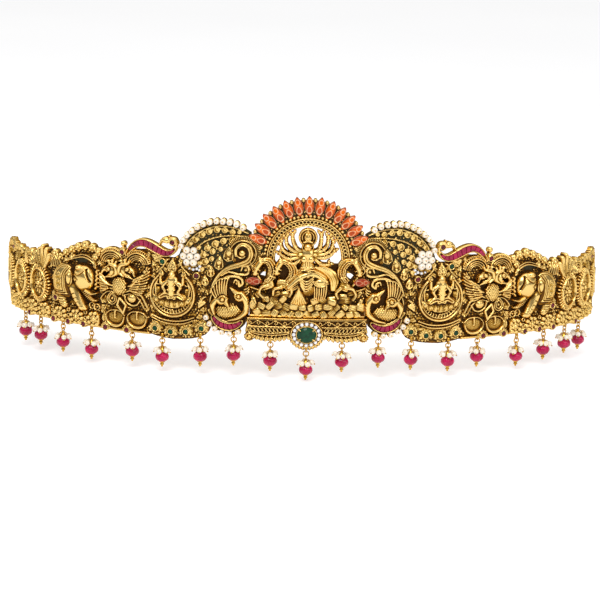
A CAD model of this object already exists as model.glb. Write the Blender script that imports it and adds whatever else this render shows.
import math

import bpy
import numpy as np
from mathutils import Matrix, Vector, geometry


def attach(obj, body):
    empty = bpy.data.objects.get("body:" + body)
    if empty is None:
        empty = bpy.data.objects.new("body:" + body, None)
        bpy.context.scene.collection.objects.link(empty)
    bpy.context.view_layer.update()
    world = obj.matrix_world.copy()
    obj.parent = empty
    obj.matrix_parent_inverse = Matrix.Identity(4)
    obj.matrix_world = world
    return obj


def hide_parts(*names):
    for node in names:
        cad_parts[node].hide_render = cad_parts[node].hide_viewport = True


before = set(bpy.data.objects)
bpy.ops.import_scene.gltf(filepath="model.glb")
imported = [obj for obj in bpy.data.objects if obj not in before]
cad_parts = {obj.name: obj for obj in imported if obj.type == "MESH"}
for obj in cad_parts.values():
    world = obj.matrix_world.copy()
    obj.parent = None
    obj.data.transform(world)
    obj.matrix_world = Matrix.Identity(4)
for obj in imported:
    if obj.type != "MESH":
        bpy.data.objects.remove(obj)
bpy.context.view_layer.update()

rng = np.random.default_rng(11)
pi = math.pi

# The belt's plan curve, in mm
HALF_W, FRONT_D, SIDE_R = 148.0, 100.0, 76.0
FRONT_C = ((HALF_W - SIDE_R) ** 2 - (FRONT_D - SIDE_R) ** 2) / (2 * (FRONT_D - SIDE_R))
FRONT_R = FRONT_D + FRONT_C
FRONT_TURN = math.atan2(HALF_W - SIDE_R, FRONT_C)
FRONT_S = FRONT_R * FRONT_TURN
PLATE_T = 1.4
STONE_R = 1.15
BACK_STEP = 4.0
SIDES = (("right", 1), ("left", -1))


def heading(s):
    t = np.abs(s)
    return np.sign(s) * np.where(t <= FRONT_S, t / FRONT_R, FRONT_TURN + (t - FRONT_S) / SIDE_R)


def on_belt(s, z, out):
    """Points in metres, for distances s round the belt, heights z and distances out of the plates in mm."""
    s, z, out = np.broadcast_arrays(np.asarray(s, float), z, out)
    a = np.abs(heading(s))
    front = np.abs(s) <= FRONT_S
    x = np.where(front, (FRONT_R + out) * np.sin(a), HALF_W - SIDE_R + (SIDE_R + out) * np.sin(a))
    y = np.where(front, FRONT_C - (FRONT_R + out) * np.cos(a), -(SIDE_R + out) * np.cos(a))
    return np.stack([np.where(s < 0, -x, x), y, z], -1) / 1000


def local_to_row(p, s, z, out=0.0):
    """Points (right, up, out) about a place on the belt, in mm, to metres in the row frame."""
    a = float(heading(s))
    o = on_belt(s, z, out)
    right = np.array([math.cos(a), math.sin(a), 0.0])
    away = np.array([math.sin(a), -math.cos(a), 0.0])
    p = np.asarray(p, float) / 1000
    return o + p[:, :1] * right + p[:, 1:2] * np.array([0, 0, 1.0]) + p[:, 2:3] * away


# Meshes
def add_mesh(name, verts, quads, tris, material, nodes, smooth=True, values=None):
    """A mesh object from arrays in metres, in the place of the CAD nodes that are named."""
    me = bpy.data.meshes.new(name)
    verts = np.asarray(verts, np.float32)
    quads = np.zeros((0, 4), np.int32) if quads is None else np.asarray(quads, np.int32).reshape(-1, 4)
    tris = np.zeros((0, 3), np.int32) if tris is None else np.asarray(tris, np.int32).reshape(-1, 3)
    me.vertices.add(len(verts))
    me.vertices.foreach_set("co", verts.ravel())
    loops = np.concatenate([quads.ravel(), tris.ravel()])
    me.loops.add(len(loops))
    me.loops.foreach_set("vertex_index", loops)
    me.polygons.add(len(quads) + len(tris))
    starts = np.concatenate([np.arange(len(quads)) * 4, len(quads) * 4 + np.arange(len(tris)) * 3])
    me.polygons.foreach_set("loop_start", starts.astype(np.int32))
    me.update(calc_edges=True)
    me.validate()
    me.polygons.foreach_set("use_smooth", np.full(len(me.polygons), smooth))
    for key, value in (values or {}).items():
        attribute = me.attributes.new(key, "FLOAT", "POINT")
        attribute.data.foreach_set("value", np.asarray(value, np.float32))
    me.update()
    ob = bpy.data.objects.new(name, me)
    bpy.context.scene.collection.objects.link(ob)
    me.materials.append(material)
    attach(ob, "root")
    if nodes:
        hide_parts(*nodes)


def grid_quads(rows, cols, wrap=False):
    """Quads of a grid of rows by cols points; wrap joins the last column to the first."""
    r = np.arange(rows - 1)[:, None] * cols
    c = np.arange(cols if wrap else cols - 1)[None, :]
    d = (c + 1) % cols
    return np.stack([r + c, r + d, r + cols + d, r + cols + c], -1).reshape(-1, 4)


class Kit:
    """Collects many small forms in one mesh."""

    def __init__(self):
        self.v, self.q, self.t, self.n = [], [], [], 0

    def add(self, verts, quads, tris=None):
        self.v.append(np.asarray(verts, float))
        self.q.append(np.asarray(quads) + self.n)
        if tris is not None:
            self.t.append(np.asarray(tris) + self.n)
        self.n += len(verts)

    def put(self, form, place):
        """Adds a form, which is its points and faces, where place moves its points."""
        self.add(place(form[0]), *form[1:])

    def make(self, name, material, slot, *nodes, smooth=True, values=None):
        tris = np.concatenate(self.t) if self.t else None
        add_mesh(name, np.concatenate(self.v), np.concatenate(self.q), tris, material, nodes, smooth,
                 values)


def turned(profile, n, ripple=None):
    """Points (right, up, out) of a form turned about the up axis, from (radius, up) pairs.
    The ripple goes by the angle, and only outside the core."""
    core = 0.8
    a = np.arange(n) * 2 * pi / n
    rows = []
    for r, y in profile:
        k = ripple(a) if ripple and r > core else np.ones(n)
        rows.append(np.stack([r * k * np.cos(a), np.full(n, y), -r * k * np.sin(a)], -1))
    return np.concatenate(rows), grid_quads(len(profile), n, True)


def ball(c, r, n=16, m=10, squash=1.0):
    t = np.linspace(0.001, pi - 0.001, m)
    v, q = turned([(r * math.sin(x), -r * math.cos(x) * squash) for x in t], n)
    return v + np.asarray(c, float), q


def torus(c, radius, wire, plane):
    """A ring of wire in the plane xy or yz."""
    n, m = 28, 8
    a = np.arange(n)[:, None] * 2 * pi / n
    b = np.arange(m)[None, :] * 2 * pi / m
    x = (radius + wire * np.cos(b)) * np.cos(a)
    y = (radius + wire * np.cos(b)) * np.sin(a)
    z = wire * np.sin(b) * np.ones_like(a)
    p = np.stack([x, y, z], -1) if plane == "xy" else np.stack([z, y, -x], -1)
    r = np.arange(n)[:, None]
    c2 = np.arange(m)[None, :]
    d, e = (r + 1) % n, (c2 + 1) % m
    q = np.stack([r * m + c2, d * m + c2, d * m + e, r * m + e], -1).reshape(-1, 4)
    return p.reshape(-1, 3) + np.asarray(c, float), q


def tube(points, radius, m=8):
    """A tube through 3-D points; radius is a number or one for each point."""
    p = np.asarray(points, float)
    r = np.broadcast_to(radius, len(p))
    t = np.gradient(p, axis=0)
    t /= np.linalg.norm(t, axis=1)[:, None]
    up = np.array([0.3, 0.2, 0.93])
    b = np.cross(t, up)
    b /= np.linalg.norm(b, axis=1)[:, None]
    c = np.cross(t, b)
    a = np.arange(m) * 2 * pi / m
    outward = np.cos(a)[None, :, None] * b[:, None] + np.sin(a)[None, :, None] * c[:, None]
    v = p[:, None] + r[:, None, None] * outward
    return v.reshape(-1, 3), grid_quads(len(p), m, True)


def gem(outline, crown, pavilion, table=0.62):
    """Cut stone on an outline: pavilion, girdle, crown and table. Flat faces."""
    o = np.asarray(outline, float)
    c = o.mean(0)
    n = len(o)
    shoulder = (1 + table) / 2 + 0.04
    levels = [(0.45, -pavilion), (1.0, -0.25 * pavilion), (1.0, 0.0), (shoulder, crown * 0.62),
              (table, crown)]
    v = np.concatenate([np.column_stack([c + (o - c) * k, np.full(n, h)]) for k, h in levels])
    v = np.concatenate([v, [[*c, crown]], [[*c, -pavilion]]])
    i = np.arange(n)
    j = (i + 1) % n
    tris = np.concatenate([np.stack([4 * n + i, 4 * n + j, np.full(n, 5 * n)], -1),
                           np.stack([j, i, np.full(n, 5 * n + 1)], -1)])
    return v, grid_quads(len(levels), n, True), tris


# Places and curves in the plane of the relief
def unit(turn):
    """Cosine and sine of a turn in degrees."""
    return math.cos(math.radians(turn)), math.sin(math.radians(turn))


def around(c, r, a, rz=None):
    """The point at the angle a, in radians, on a circle or an oval about c."""
    return c[0] + r * math.cos(a), c[1] + (rz or r) * math.sin(a)


def evenly(n, c, r, rz=None, first=0.0, skip=0.0):
    """n points at equal angles on a circle or an oval about c, from the angle first and skip steps on."""
    return [around(c, r, 2 * pi * (k + skip) / n + first, rz) for k in range(n)]


def about(s, z, m=1, k=1):
    """A function that moves points, given about a place, to that place. m and k stretch them, and m = -1
    mirrors them."""
    return lambda *points: np.asarray(points, float) * [m, k] + [s, z]


def curve(points, n=8):
    """Smooth curve through points."""
    p = np.asarray(points, float)
    p = np.concatenate([[2 * p[0] - p[1]], p, [2 * p[-1] - p[-2]]])
    t = np.linspace(0, 1, n, endpoint=False)[:, None]
    out = []
    for a, b, c, d in zip(p[:-3], p[1:-2], p[2:-1], p[3:]):
        square, cube = 2 * a - 5 * b + 4 * c - d, 3 * b - a - 3 * c + d
        out.append(0.5 * (2 * b + (c - a) * t + square * t ** 2 + cube * t ** 3))
    return np.concatenate(out + [p[-2:-1]])


def arc(s, z, r, a0, a1, n=24, rz=None):
    a = np.radians(np.linspace(a0, a1, n))
    return np.stack([s + r * np.cos(a), z + (rz or r) * np.sin(a)], -1)


def spiral(s, z, r0, r1, a0, a1, n=30):
    a = np.radians(np.linspace(a0, a1, n))
    r = np.linspace(r0, r1, n)
    return np.stack([s + r * np.cos(a), z + r * np.sin(a)], -1)


def spaced(points, gap):
    """Points at equal distances along a line."""
    p = np.asarray(points, float)
    l = np.concatenate([[0], np.cumsum(np.linalg.norm(np.diff(p, axis=0), axis=1))])
    n = max(2, int(round(l[-1] / gap)) + 1)
    x = np.linspace(0, l[-1], n)
    return np.stack([np.interp(x, l, p[:, 0]), np.interp(x, l, p[:, 1])], -1)


def legs(points, S, Z):
    """For each leg of a line and the grid S, Z: its number, its length, how far along it each place is from
    0 to 1, on which side of it, and how far away."""
    p = np.asarray(points, float)
    for k, (a, e) in enumerate(zip(p[:-1], np.diff(p, axis=0))):
        if e @ e < 1e-9:
            continue
        x, y = S - a[0], Z - a[1]
        t = np.clip((x * e[0] + y * e[1]) / (e @ e), 0, 1)
        yield k, math.sqrt(e @ e), t, np.sign(e[0] * y - e[1] * x), np.hypot(x - t * e[0], y - t * e[1])


def nearest(points, S, Z):
    """Distance from each place of the grid to a line."""
    return np.minimum.reduce([leg[-1] for leg in legs(points, S, Z)])


def blur(a, k):
    """Soft average over about k cells each way."""
    for _ in range(3):
        for axis in (0, 1):
            pad = [(0, 0), (0, 0)]
            pad[axis] = (k + 1, k)
            c = np.cumsum(np.pad(a, pad, mode="edge"), axis=axis)
            n = a.shape[axis]
            lo = np.take(c, np.arange(n), axis=axis)
            hi = np.take(c, np.arange(n) + 2 * k + 1, axis=axis)
            a = (hi - lo) / (2 * k + 1)
    return a


class Relief:
    """A raised sheet on a grid of distances round the belt and heights. H is its height out of the plate,
    F how far a point is inside its outline, G how much of the dark ground it shows, and C whether it lies
    in a hollow or on a height."""

    def __init__(self, s0, s1, z0, z1, step, base=0.0):
        self.step = step
        self.s = np.arange(s0, s1 + step / 2, step)
        self.z = np.arange(z0, z1 + step / 2, step)
        self.S, self.Z = np.meshgrid(self.s, self.z)
        self.H = np.full(self.S.shape, float(base))
        self.F = np.full(self.S.shape, -9.0)
        self.G = np.zeros(self.S.shape)

    # outline
    def polygon(self, points):
        """Signed distance to a closed outline, positive inside."""
        p = np.asarray(points, float)
        odd = np.zeros(self.S.shape, bool)
        for a, b in zip(p, np.roll(p, -1, axis=0)):
            if a[1] != b[1]:
                crosses = (self.Z < a[1]) != (self.Z < b[1])
                odd ^= crosses & (self.S < a[0] + (self.Z - a[1]) * (b[0] - a[0]) / (b[1] - a[1]))
        away = nearest(np.vstack([p, p[:1]]), self.S, self.Z)
        return np.where(odd, away, -away)

    def outline(self, points):
        self.F = np.maximum(self.F, self.polygon(points))

    def circle(self, s, z, r, k=1.0):
        return r - np.hypot(self.S - s, (self.Z - z) / k)

    # windows
    def window(self, s, z, r):
        """The part of the grid within r of a place."""
        i0, i1 = int((s - r - self.s[0]) / self.step), int((s + r - self.s[0]) / self.step) + 2
        j0, j1 = int((z - r - self.z[0]) / self.step), int((z + r - self.z[0]) / self.step) + 2
        return (slice(max(0, j0), max(0, j1)), slice(max(0, i0), max(0, i1)))

    def local(self, s, z, r, turn=0.0):
        """The window about a place, and its coordinates along and across the turn."""
        w = self.window(s, z, r)
        c, d = unit(turn)
        x, y = self.S[w] - s, self.Z[w] - z
        return w, x * c + y * d, y * c - x * d

    def window_round(self, points, margin):
        """The window round a line."""
        low, high = points.min(0), points.max(0)
        w = self.window(*(high + low) / 2, (high - low).max() / 2 + margin)
        return w, self.S[w], self.Z[w]

    def lift(self, w, h, mask, reach=None):
        self.H[w] = np.where(mask & (h > self.H[w]), h, self.H[w])
        self.G[w] = np.where(mask, self.G[w] * 0.25, self.G[w])
        if reach is not None:
            self.F[w] = np.maximum(self.F[w], reach)

    # forms
    def dome(self, s, z, r, h, k=1.0, turn=0.0, base=0.0, shape=False):
        """A round or oval swelling. Like the other forms, it widens the outline where shape is true."""
        w, u, v = self.local(s, z, r * max(1.0, k) * 1.05 + 0.4, turn)
        q = (u / r) ** 2 + (v / (r * k)) ** 2
        reach = r * min(1, k) * (1 - np.sqrt(q)) if shape else None
        self.lift(w, base + h * np.clip(1 - q, 0, 1) ** 0.5, q < 1, reach)

    def ball(self, s, z, r, base=0.0, shape=False, up=0.35):
        self.dome(s, z, r, r * (1 + up) * 0.8, base=base, shape=shape)

    def stroke(self, points, width, h, base=0.0, line=0.0, rope=0.0, comb=0, pitch=1.0, shape=False):
        """A ridge along points. line cuts a groove along its middle, comb cuts several, rope twists it."""
        p = np.asarray(points, float)
        share = np.linspace(0, 1, np.size(width))
        ww = np.interp(np.linspace(0, 1, len(p)), share, np.atleast_1d(width).astype(float))
        w, S, Z = self.window_round(p, ww.max() + 0.3)
        if not S.size:
            return
        rel, along, side, wid = np.full(S.shape, 9.0), np.zeros(S.shape), np.zeros(S.shape), np.ones(S.shape)
        run = 0.0
        for k, length, t, hand, away in legs(p, S, Z):
            wk = ww[k] + (ww[k + 1] - ww[k]) * t
            d = away / wk
            better = d < rel
            rel = np.where(better, d, rel)
            along = np.where(better, run + t * length, along)
            side = np.where(better, d * hand, side)
            wid = np.where(better, wk, wid)
            run += length
        hh = h * np.sqrt(np.clip(1 - rel ** 2, 0, 1)) - line * np.exp(-(rel / 0.28) ** 2)
        if comb:
            hh = hh * (1 - 0.3 * (0.5 + 0.5 * np.cos(pi * side * comb)))
        if rope:
            hh = hh * (1 - rope * (0.5 + 0.5 * np.cos(2 * pi * (along / pitch + 0.45 * side))))
        self.lift(w, base + hh, rel < 1, wid * (1 - rel) if shape else None)

    def bend(self, points, *form, **more):
        """A stroke along the smooth curve through points."""
        self.stroke(curve(points), *form, **more)

    def trace(self, points, width, amount):
        """A rounded line raised on what is there, or sunk into it where amount is below 0."""
        p = np.asarray(points, float)
        w, S, Z = self.window_round(p, width + 0.3)
        if S.size:
            self.H[w] += amount * np.sqrt(np.clip(1 - (nearest(p, S, Z) / width) ** 2, 0, 1))

    def loop(self, s, z, r, width, amount):
        self.trace(arc(s, z, r, 0, 360, 18), width, amount)

    def eye(self, s, z, r):
        self.loop(s, z, r, 0.3, -0.75)
        self.trace([(s, z), (s + 0.01, z)], r * 0.55, 0.35)

    def beads(self, points, r, gap, base=0.0, shape=False):
        for s, z in spaced(points, gap):
            self.ball(s, z, r, base, shape, 0.3)

    def leaf(self, s, z, turn, l, width, h, base=0.0, rib=0.0, vein=0.25, shape=False, blunt=0.8):
        w, u, v = self.local(s, z, l + 0.5, turn)
        t = np.clip(u / l, 0, 1)
        half = 0.5 * width * np.sin(pi * t ** blunt) + 1e-6
        rel = np.abs(v) / half
        inside = (u > 0) & (u < l) & (rel < 1)
        across = 0.7 * np.sqrt(np.clip(1 - rel ** 2, 0, 1)) + 0.3 * (rel > 0.72)
        hh = h * across * (0.6 + 0.4 * np.sin(pi * t))
        hh -= vein * h * np.exp(-(v / 0.2) ** 2)
        if rib:
            hh -= 0.16 * h * (0.5 + 0.5 * np.cos(2 * pi * (u - np.abs(v)) / rib))
        self.lift(w, base + hh, inside, (half - np.abs(v)) * 0.9 if shape else None)

    def fan(self, s, z, r, a0, a1, n, l, width, h, base=0.0, rib=0.0, shape=False):
        """n leaves that spread from a0 to a1 degrees."""
        for a in np.linspace(a0, a1, n):
            self.leaf(*around((s, z), r, math.radians(a)), a, l, width, h, base, rib, shape=shape)

    def ring(self, s, z, r, width, h, a0=0.0, a1=360.0, base=0.0, teeth=0, depth=0.5, shape=False):
        w, u, v = self.local(s, z, r + width + 0.3)
        rad = np.hypot(u, v)
        ang = (np.degrees(np.arctan2(v, u)) - a0) % 360
        d = np.abs(rad - r) / width
        hh = h * np.sqrt(np.clip(1 - d ** 2, 0, 1))
        if teeth:
            hh = hh * (1 - depth * (0.5 + 0.5 * np.cos(np.radians(ang) * teeth)))
        self.lift(w, base + hh, (d < 1) & (ang <= a1 - a0), (r + width - rad) if shape else None)

    def disc(self, s, z, r, h, k=1.0, shape=False, edge=0.35):
        w, u, v = self.local(s, z, r * max(1, k) + 0.3)
        d = r - np.hypot(u, v / k)
        self.lift(w, h * np.sqrt(np.clip(1 - (1 - np.clip(d / edge, 0, 1)) ** 2, 0, 1)), d > 0,
                  d if shape else None)

    def granules(self, s, z, r, size, h, k):
        """Balls packed in an oval."""
        step = size * 1.9
        rows = int(r * k / (step * 0.87)) + 1
        for j in range(-rows, rows + 1):
            for i in range(-int(r / step) - 1, int(r / step) + 2):
                x, y = (i + 0.5 * (j % 2)) * step, j * step * 0.87
                q = (x / r) ** 2 + (y / (r * k)) ** 2
                if q < 1:
                    self.ball(s + x, z + y, size, base=h * (1 - q) ** 0.5)

    def scales(self, s, z, r, h, k, pitch, turn, base):
        """A rounded form covered with rows of scales."""
        self.dome(s, z, r, h * 0.8, k, turn, base)
        c, d = unit(turn)
        rows = int(r * k / (pitch * 0.7)) + 1
        for j in range(rows, -rows - 1, -1):
            for i in range(-int(r / pitch) - 1, int(r / pitch) + 2):
                x, y = (i + 0.5 * (j % 2)) * pitch, j * pitch * 0.7
                q = (x / r) ** 2 + (y / (r * k)) ** 2
                if q < 0.9:
                    place = (s + x * c - y * d, z + x * d + y * c)
                    self.dome(*place, pitch * 0.5, 0.45, 0.9, turn, base + h * 0.85 * (1 - q) ** 0.5)

    def block(self, s, z, turn, a, b, h, tilt, stripes):
        """A rounded lump with a tilted, striped top."""
        w, u, v = self.local(s, z, math.hypot(a, b) + 0.3, turn)
        q = np.abs(u / a) ** 4 + np.abs(v / b) ** 4
        hh = h * np.clip(1 - q, 0, 1) ** 0.4 * (1 + tilt * u / a)
        if stripes:
            wave = np.cos(2 * pi * (v + 0.25 * u * u / a) / stripes)
            hh -= 0.22 * (0.5 + 0.5 * wave) * np.clip(1 - q, 0, 1)
        self.lift(w, hh, q < 1)

    def seat(self, s, z, r=STONE_R, h=1.5):
        """A collar that holds a small round stone."""
        rim, floor = 0.6, 0.35
        w, u, v = self.local(s, z, r + rim + 0.3)
        rad = np.hypot(u, v)
        d = np.abs(rad - r - rim / 2) / (rim / 2)
        collar = h * (0.75 + 0.25 * np.sqrt(np.clip(1 - d ** 2, 0, 1)))
        self.H[w] = np.where(rad < r + rim, np.where(rad < r, floor, collar), self.H[w])
        self.G[w] = np.where(rad < r + rim, 0, self.G[w])
        self.F[w] = np.maximum(self.F[w], r + rim - rad)

    def face(self, s, z, wide, tall, out, base):
        """A calm, plain face on even proportions: eyes, brows, nose and mouth."""
        self.dome(s, z, tall / 2, out, wide / tall, 90, base)
        at = about(s, z, wide, tall)
        for m in (-1, 1):
            self.trace(at((m * 0.12, 0.05), (m * 0.31, 0.06)), 0.2, -0.45)
            self.trace(at((m * 0.10, 0.15), (m * 0.33, 0.16)), 0.16, 0.16)
        self.trace(at((0, 0.08), (0, -0.09)), wide * 0.07, 0.4)
        self.trace(at((-0.10, -0.24), (0.10, -0.24)), 0.15, -0.3)

    def fill(self, gap, low, shade, inside=None, r=(0.36, 0.6), leaves=0.4):
        """Granules and small leaves wherever the sheet is still low."""
        for k, z in enumerate(np.arange(self.z[0], self.z[-1], gap * 0.87)):
            for s in np.arange(self.s[0] + gap / 2 * (k % 2), self.s[-1], gap):
                s1, z1 = s + rng.uniform(-0.25, 0.25), z + rng.uniform(-0.25, 0.25)
                i, j = int((s1 - self.s[0]) / self.step), int((z1 - self.z[0]) / self.step)
                if not (0 <= i < self.H.shape[1] and 0 <= j < self.H.shape[0]):
                    continue
                if self.H[j, i] > low or self.F[j, i] < 0.8 or self.G[j, i] > shade:
                    continue
                if inside is not None and not inside(s1, z1):
                    continue
                size = rng.uniform(*r)
                if rng.random() < leaves:
                    a = rng.uniform(0, 360)
                    c, d = unit(a)
                    self.leaf(s1 - 1.1 * c, z1 - 1.1 * d, a, 2.3, 1.15, 0.75, 0.25, rib=0.6)
                else:
                    self.ball(s1, z1, size, base=rng.uniform(0.1, 0.35))

    # making the mesh
    def cells(self, s, z, whole):
        """Column and row numbers of places, kept on the grid."""
        i = whole((s - self.s[0]) / self.step).astype(int)
        j = whole((z - self.z[0]) / self.step).astype(int)
        return np.clip(i, 0, len(self.s) - 1), np.clip(j, 0, len(self.z) - 1)

    def finish(self, rounding=0.5):
        """Rounds the edge, and works out how much patina each place holds from how deep it lies."""
        e = np.sqrt(np.clip(1 - (1 - np.clip(self.F / rounding, 0, 1)) ** 2, 0, 1))
        self.H = self.H * e - 0.35 * (1 - e)
        c = 0.5
        for reach, weight, depth in ((0.45, 0.85, 0.5), (1.5, 0.5, 1.2), (3.2, 0.55, 1.6)):
            c = c + weight * (self.H - blur(self.H, max(1, round(reach / self.step)))) / depth
        # faces that look down hold more patina
        down = np.gradient(blur(self.H, 1), self.step)[0]
        c -= 0.16 * np.clip(down, -1.2, 1.2)
        self.C = np.clip(c, 0, 1)

    def make_pair(self, name, node_name):
        for side, sign in SIDES:
            self.make(f"{name}_{side}", f"{node_name}_{side}", sign)

    def make(self, name, node_name, sign=1, back=-PLATE_T):
        """The mesh: the raised sheet, the wall round it and the flat back. sign = -1 mirrors it."""
        F = self.F
        inside = F > 0
        cell = inside[:-1, :-1] & inside[1:, :-1] & inside[:-1, 1:] & inside[1:, 1:]
        ny, nx = F.shape
        near_cell = np.zeros((ny, nx), int)
        for dy in (0, 1):
            for dx in (0, 1):
                near_cell[dy:dy + ny - 1, dx:dx + nx - 1] += cell
        used = near_cell > 0
        edge = used & (near_cell < 4)
        # the vertices at the edge move out to the outline
        gz, gs = np.gradient(F, self.step)
        g = np.maximum(np.hypot(gz, gs), 0.3)
        move = np.where(edge, np.clip(F / g, 0, self.step * 1.3), 0)
        S = self.S - move * gs / g
        Z = self.Z - move * gz / g
        index = np.full((ny, nx), -1)
        index[used] = np.arange(used.sum())
        n = int(used.sum())
        cy, cx = np.nonzero(cell)
        quads = np.stack([index[cy, cx], index[cy, cx + 1], index[cy + 1, cx + 1], index[cy + 1, cx]], -1)
        fs, fz, fh = S[used], Z[used], self.H[used]
        # edges of just one cell make the wall
        e = np.concatenate([quads[:, [k, (k + 1) % 4]] for k in range(4)])
        key = np.sort(e, axis=1)
        _, first, count = np.unique(key[:, 0] * n + key[:, 1], return_index=True, return_counts=True)
        rim = e[first[count == 1]]
        rv, inv = np.unique(rim, return_inverse=True)
        inv = inv.reshape(rim.shape)
        m = len(rv)
        wall = np.stack([n + inv[:, 1], n + inv[:, 0], n + m + inv[:, 0], n + m + inv[:, 1]], -1)
        # the back, with a few inner points so that it follows the belt's curve
        coarse = np.meshgrid(np.arange(self.s[0], self.s[-1], BACK_STEP),
                             np.arange(self.z[0], self.z[-1], BACK_STEP))
        i, j = self.cells(*coarse, np.round)
        ok = F[j, i] > 0.8
        points = np.concatenate([np.stack([fs[rv], fz[rv]], -1), np.stack([x[ok] for x in coarse], -1)])
        edges = [tuple(map(int, pair)) for pair in inv]
        bv, _, bf, _, _, _ = geometry.delaunay_2d_cdt([Vector(p) for p in points], edges, [], 0, 1e-5)
        bv = np.array([tuple(p) for p in bv])
        bf = np.array([f for f in bf if len(f) == 3])
        i, j = self.cells(*bv[bf].mean(1).T, np.floor)
        bf = bf[cell[np.minimum(j, ny - 2), np.minimum(i, nx - 2)]]
        s_all = np.concatenate([fs, fs[rv], fs[rv], bv[:, 0]])
        z_all = np.concatenate([fz, fz[rv], fz[rv], bv[:, 1]])
        h_all = np.concatenate([fh, fh[rv], np.full(m, back), np.full(len(bv), back)])
        tris = bf[:, ::-1] + n + 2 * m
        quads = np.concatenate([quads, wall])
        if sign < 0:
            s_all = -s_all
            quads, tris = quads[:, ::-1], tris[:, ::-1]
        cav = np.concatenate([self.C[used], self.C[used][rv], np.full(m + len(bv), 0.6)])
        ground = np.concatenate([self.G[used], np.zeros(2 * m + len(bv))])
        add_mesh(name, on_belt(s_all, z_all, h_all), quads, tris, GOLD, [node_name],
                 values={"cavity": cav, "ground": ground})


# Materials
def set_values(n, values):
    for key, value in values.items():
        n.inputs[key.replace("_", " ")].default_value = value


def new_material(name, **values):
    """A material, its node tree and its shader with the given values."""
    m = bpy.data.materials.new(name)
    m.use_nodes = True
    shader = m.node_tree.nodes["Principled BSDF"]
    set_values(shader, values)
    return m, m.node_tree, shader


def node(t, kind, **values):
    n = t.nodes.new(kind)
    set_values(n, values)
    return n


def ramp(t, source, stops):
    r = t.nodes.new("ShaderNodeValToRGB")
    e = r.color_ramp.elements
    while len(e) < len(stops):
        e.new(0.5)
    for x, (pos, col) in zip(e, stops):
        x.position = pos
        x.color = (*col, 1) if len(col) == 3 else col
    t.links.new(source, r.inputs["Fac"])
    return r.outputs["Color"]


def blend(t, source, low, high):
    return ramp(t, source, [(0.3, low), (0.7, high)])


def noise(t, scale, detail=4.0, rough=0.55):
    c = t.nodes.new("ShaderNodeTexCoord")
    n = node(t, "ShaderNodeTexNoise", Scale=scale, Detail=detail, Roughness=rough)
    t.links.new(c.outputs["Object"], n.inputs["Vector"])
    return n.outputs["Fac"]


def maths(t, op, a, b):
    n = t.nodes.new("ShaderNodeMath")
    n.operation = op
    for i, x in enumerate((a, b)):
        if isinstance(x, (int, float)):
            n.inputs[i].default_value = x
        else:
            t.links.new(x, n.inputs[i])
    return n.outputs[0]


def mix(t, fac, a, b):
    n = t.nodes.new("ShaderNodeMix")
    n.data_type = "RGBA"
    for sock, x in ((n.inputs[0], fac), (n.inputs[6], a), (n.inputs[7], b)):
        if isinstance(x, tuple):
            sock.default_value = (*x, 1)
        elif isinstance(x, (int, float)):
            sock.default_value = x
        else:
            t.links.new(x, sock)
    return n.outputs[2]


def bump(t, bsdf, height, strength, distance):
    b = node(t, "ShaderNodeBump", Strength=strength, Distance=distance)
    t.links.new(height, b.inputs["Height"])
    t.links.new(b.outputs["Normal"], bsdf.inputs["Normal"])


def attribute(t, name):
    a = t.nodes.new("ShaderNodeAttribute")
    a.attribute_name = name
    return a.outputs["Fac"]


def antique_gold():
    """Gold in relief: brown in its hollows, bright on its heights, dull where it shows the ground."""
    m, t, b = new_material("antique_gold", Specular_Tint=(0.95, 0.70, 0.36, 1))
    cav = attribute(t, "cavity")
    ground = attribute(t, "ground")
    worn = maths(t, "ADD", cav, maths(t, "MULTIPLY", maths(t, "SUBTRACT", noise(t, 420, 5), 0.5), 0.35))
    colour = ramp(t, worn, [(0.08, (0.040, 0.013, 0.0014)), (0.30, (0.155, 0.056, 0.006)),
                            (0.52, (0.27, 0.122, 0.012)), (0.74, (0.46, 0.250, 0.034)),
                            (0.96, (0.86, 0.59, 0.20))])
    dull = ramp(t, noise(t, 2600, 3), [(0.35, (0.010, 0.013, 0.008)), (0.7, (0.032, 0.036, 0.018))])
    t.links.new(mix(t, ground, colour, dull), b.inputs["Base Color"])
    metal = ramp(t, worn, [(0.12, (0.5,) * 3), (0.4, (1.0,) * 3)])
    t.links.new(maths(t, "SUBTRACT", metal, maths(t, "MULTIPLY", ground, 0.7)), b.inputs["Metallic"])
    rough = ramp(t, worn, [(0.1, (0.55,) * 3), (0.5, (0.27,) * 3), (0.85, (0.17,) * 3)])
    t.links.new(rough, b.inputs["Roughness"])
    bump(t, b, noise(t, 1500, 4), 0.35, 0.00012)
    return m


def polished_gold():
    m, t, b = new_material("polished_gold", Metallic=1.0, Specular_Tint=(0.92, 0.70, 0.36, 1))
    n = noise(t, 700, 4)
    t.links.new(blend(t, n, (0.52, 0.28, 0.035), (0.80, 0.48, 0.09)), b.inputs["Base Color"])
    t.links.new(blend(t, n, (0.32,) * 3, (0.20,) * 3), b.inputs["Roughness"])
    bump(t, b, noise(t, 2200, 3), 0.2, 0.00006)
    return m


def mottled(name, spots, low, high, grain, strength, depth, **values):
    """A material in two blended colours with a fine uneven surface."""
    m, t, b = new_material(name, **values)
    t.links.new(blend(t, noise(t, *spots), low, high), b.inputs["Base Color"])
    bump(t, b, noise(t, *grain), strength, depth)
    return m


def ruby(name, deep, bright):
    return mottled(name, (260, 3, 0.5), deep, bright, (900, 2), 0.08, 0.0001,
                   Roughness=0.14, Coat_Weight=0.08, Coat_Roughness=0.04, Specular_IOR_Level=0.32)


def emerald():
    return mottled("emerald", (500, 5, 0.6), (0.0006, 0.018, 0.007), (0.002, 0.072, 0.026), (1200, 2),
                   0.05, 0.00008, Roughness=0.08, Specular_IOR_Level=0.25)


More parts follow.
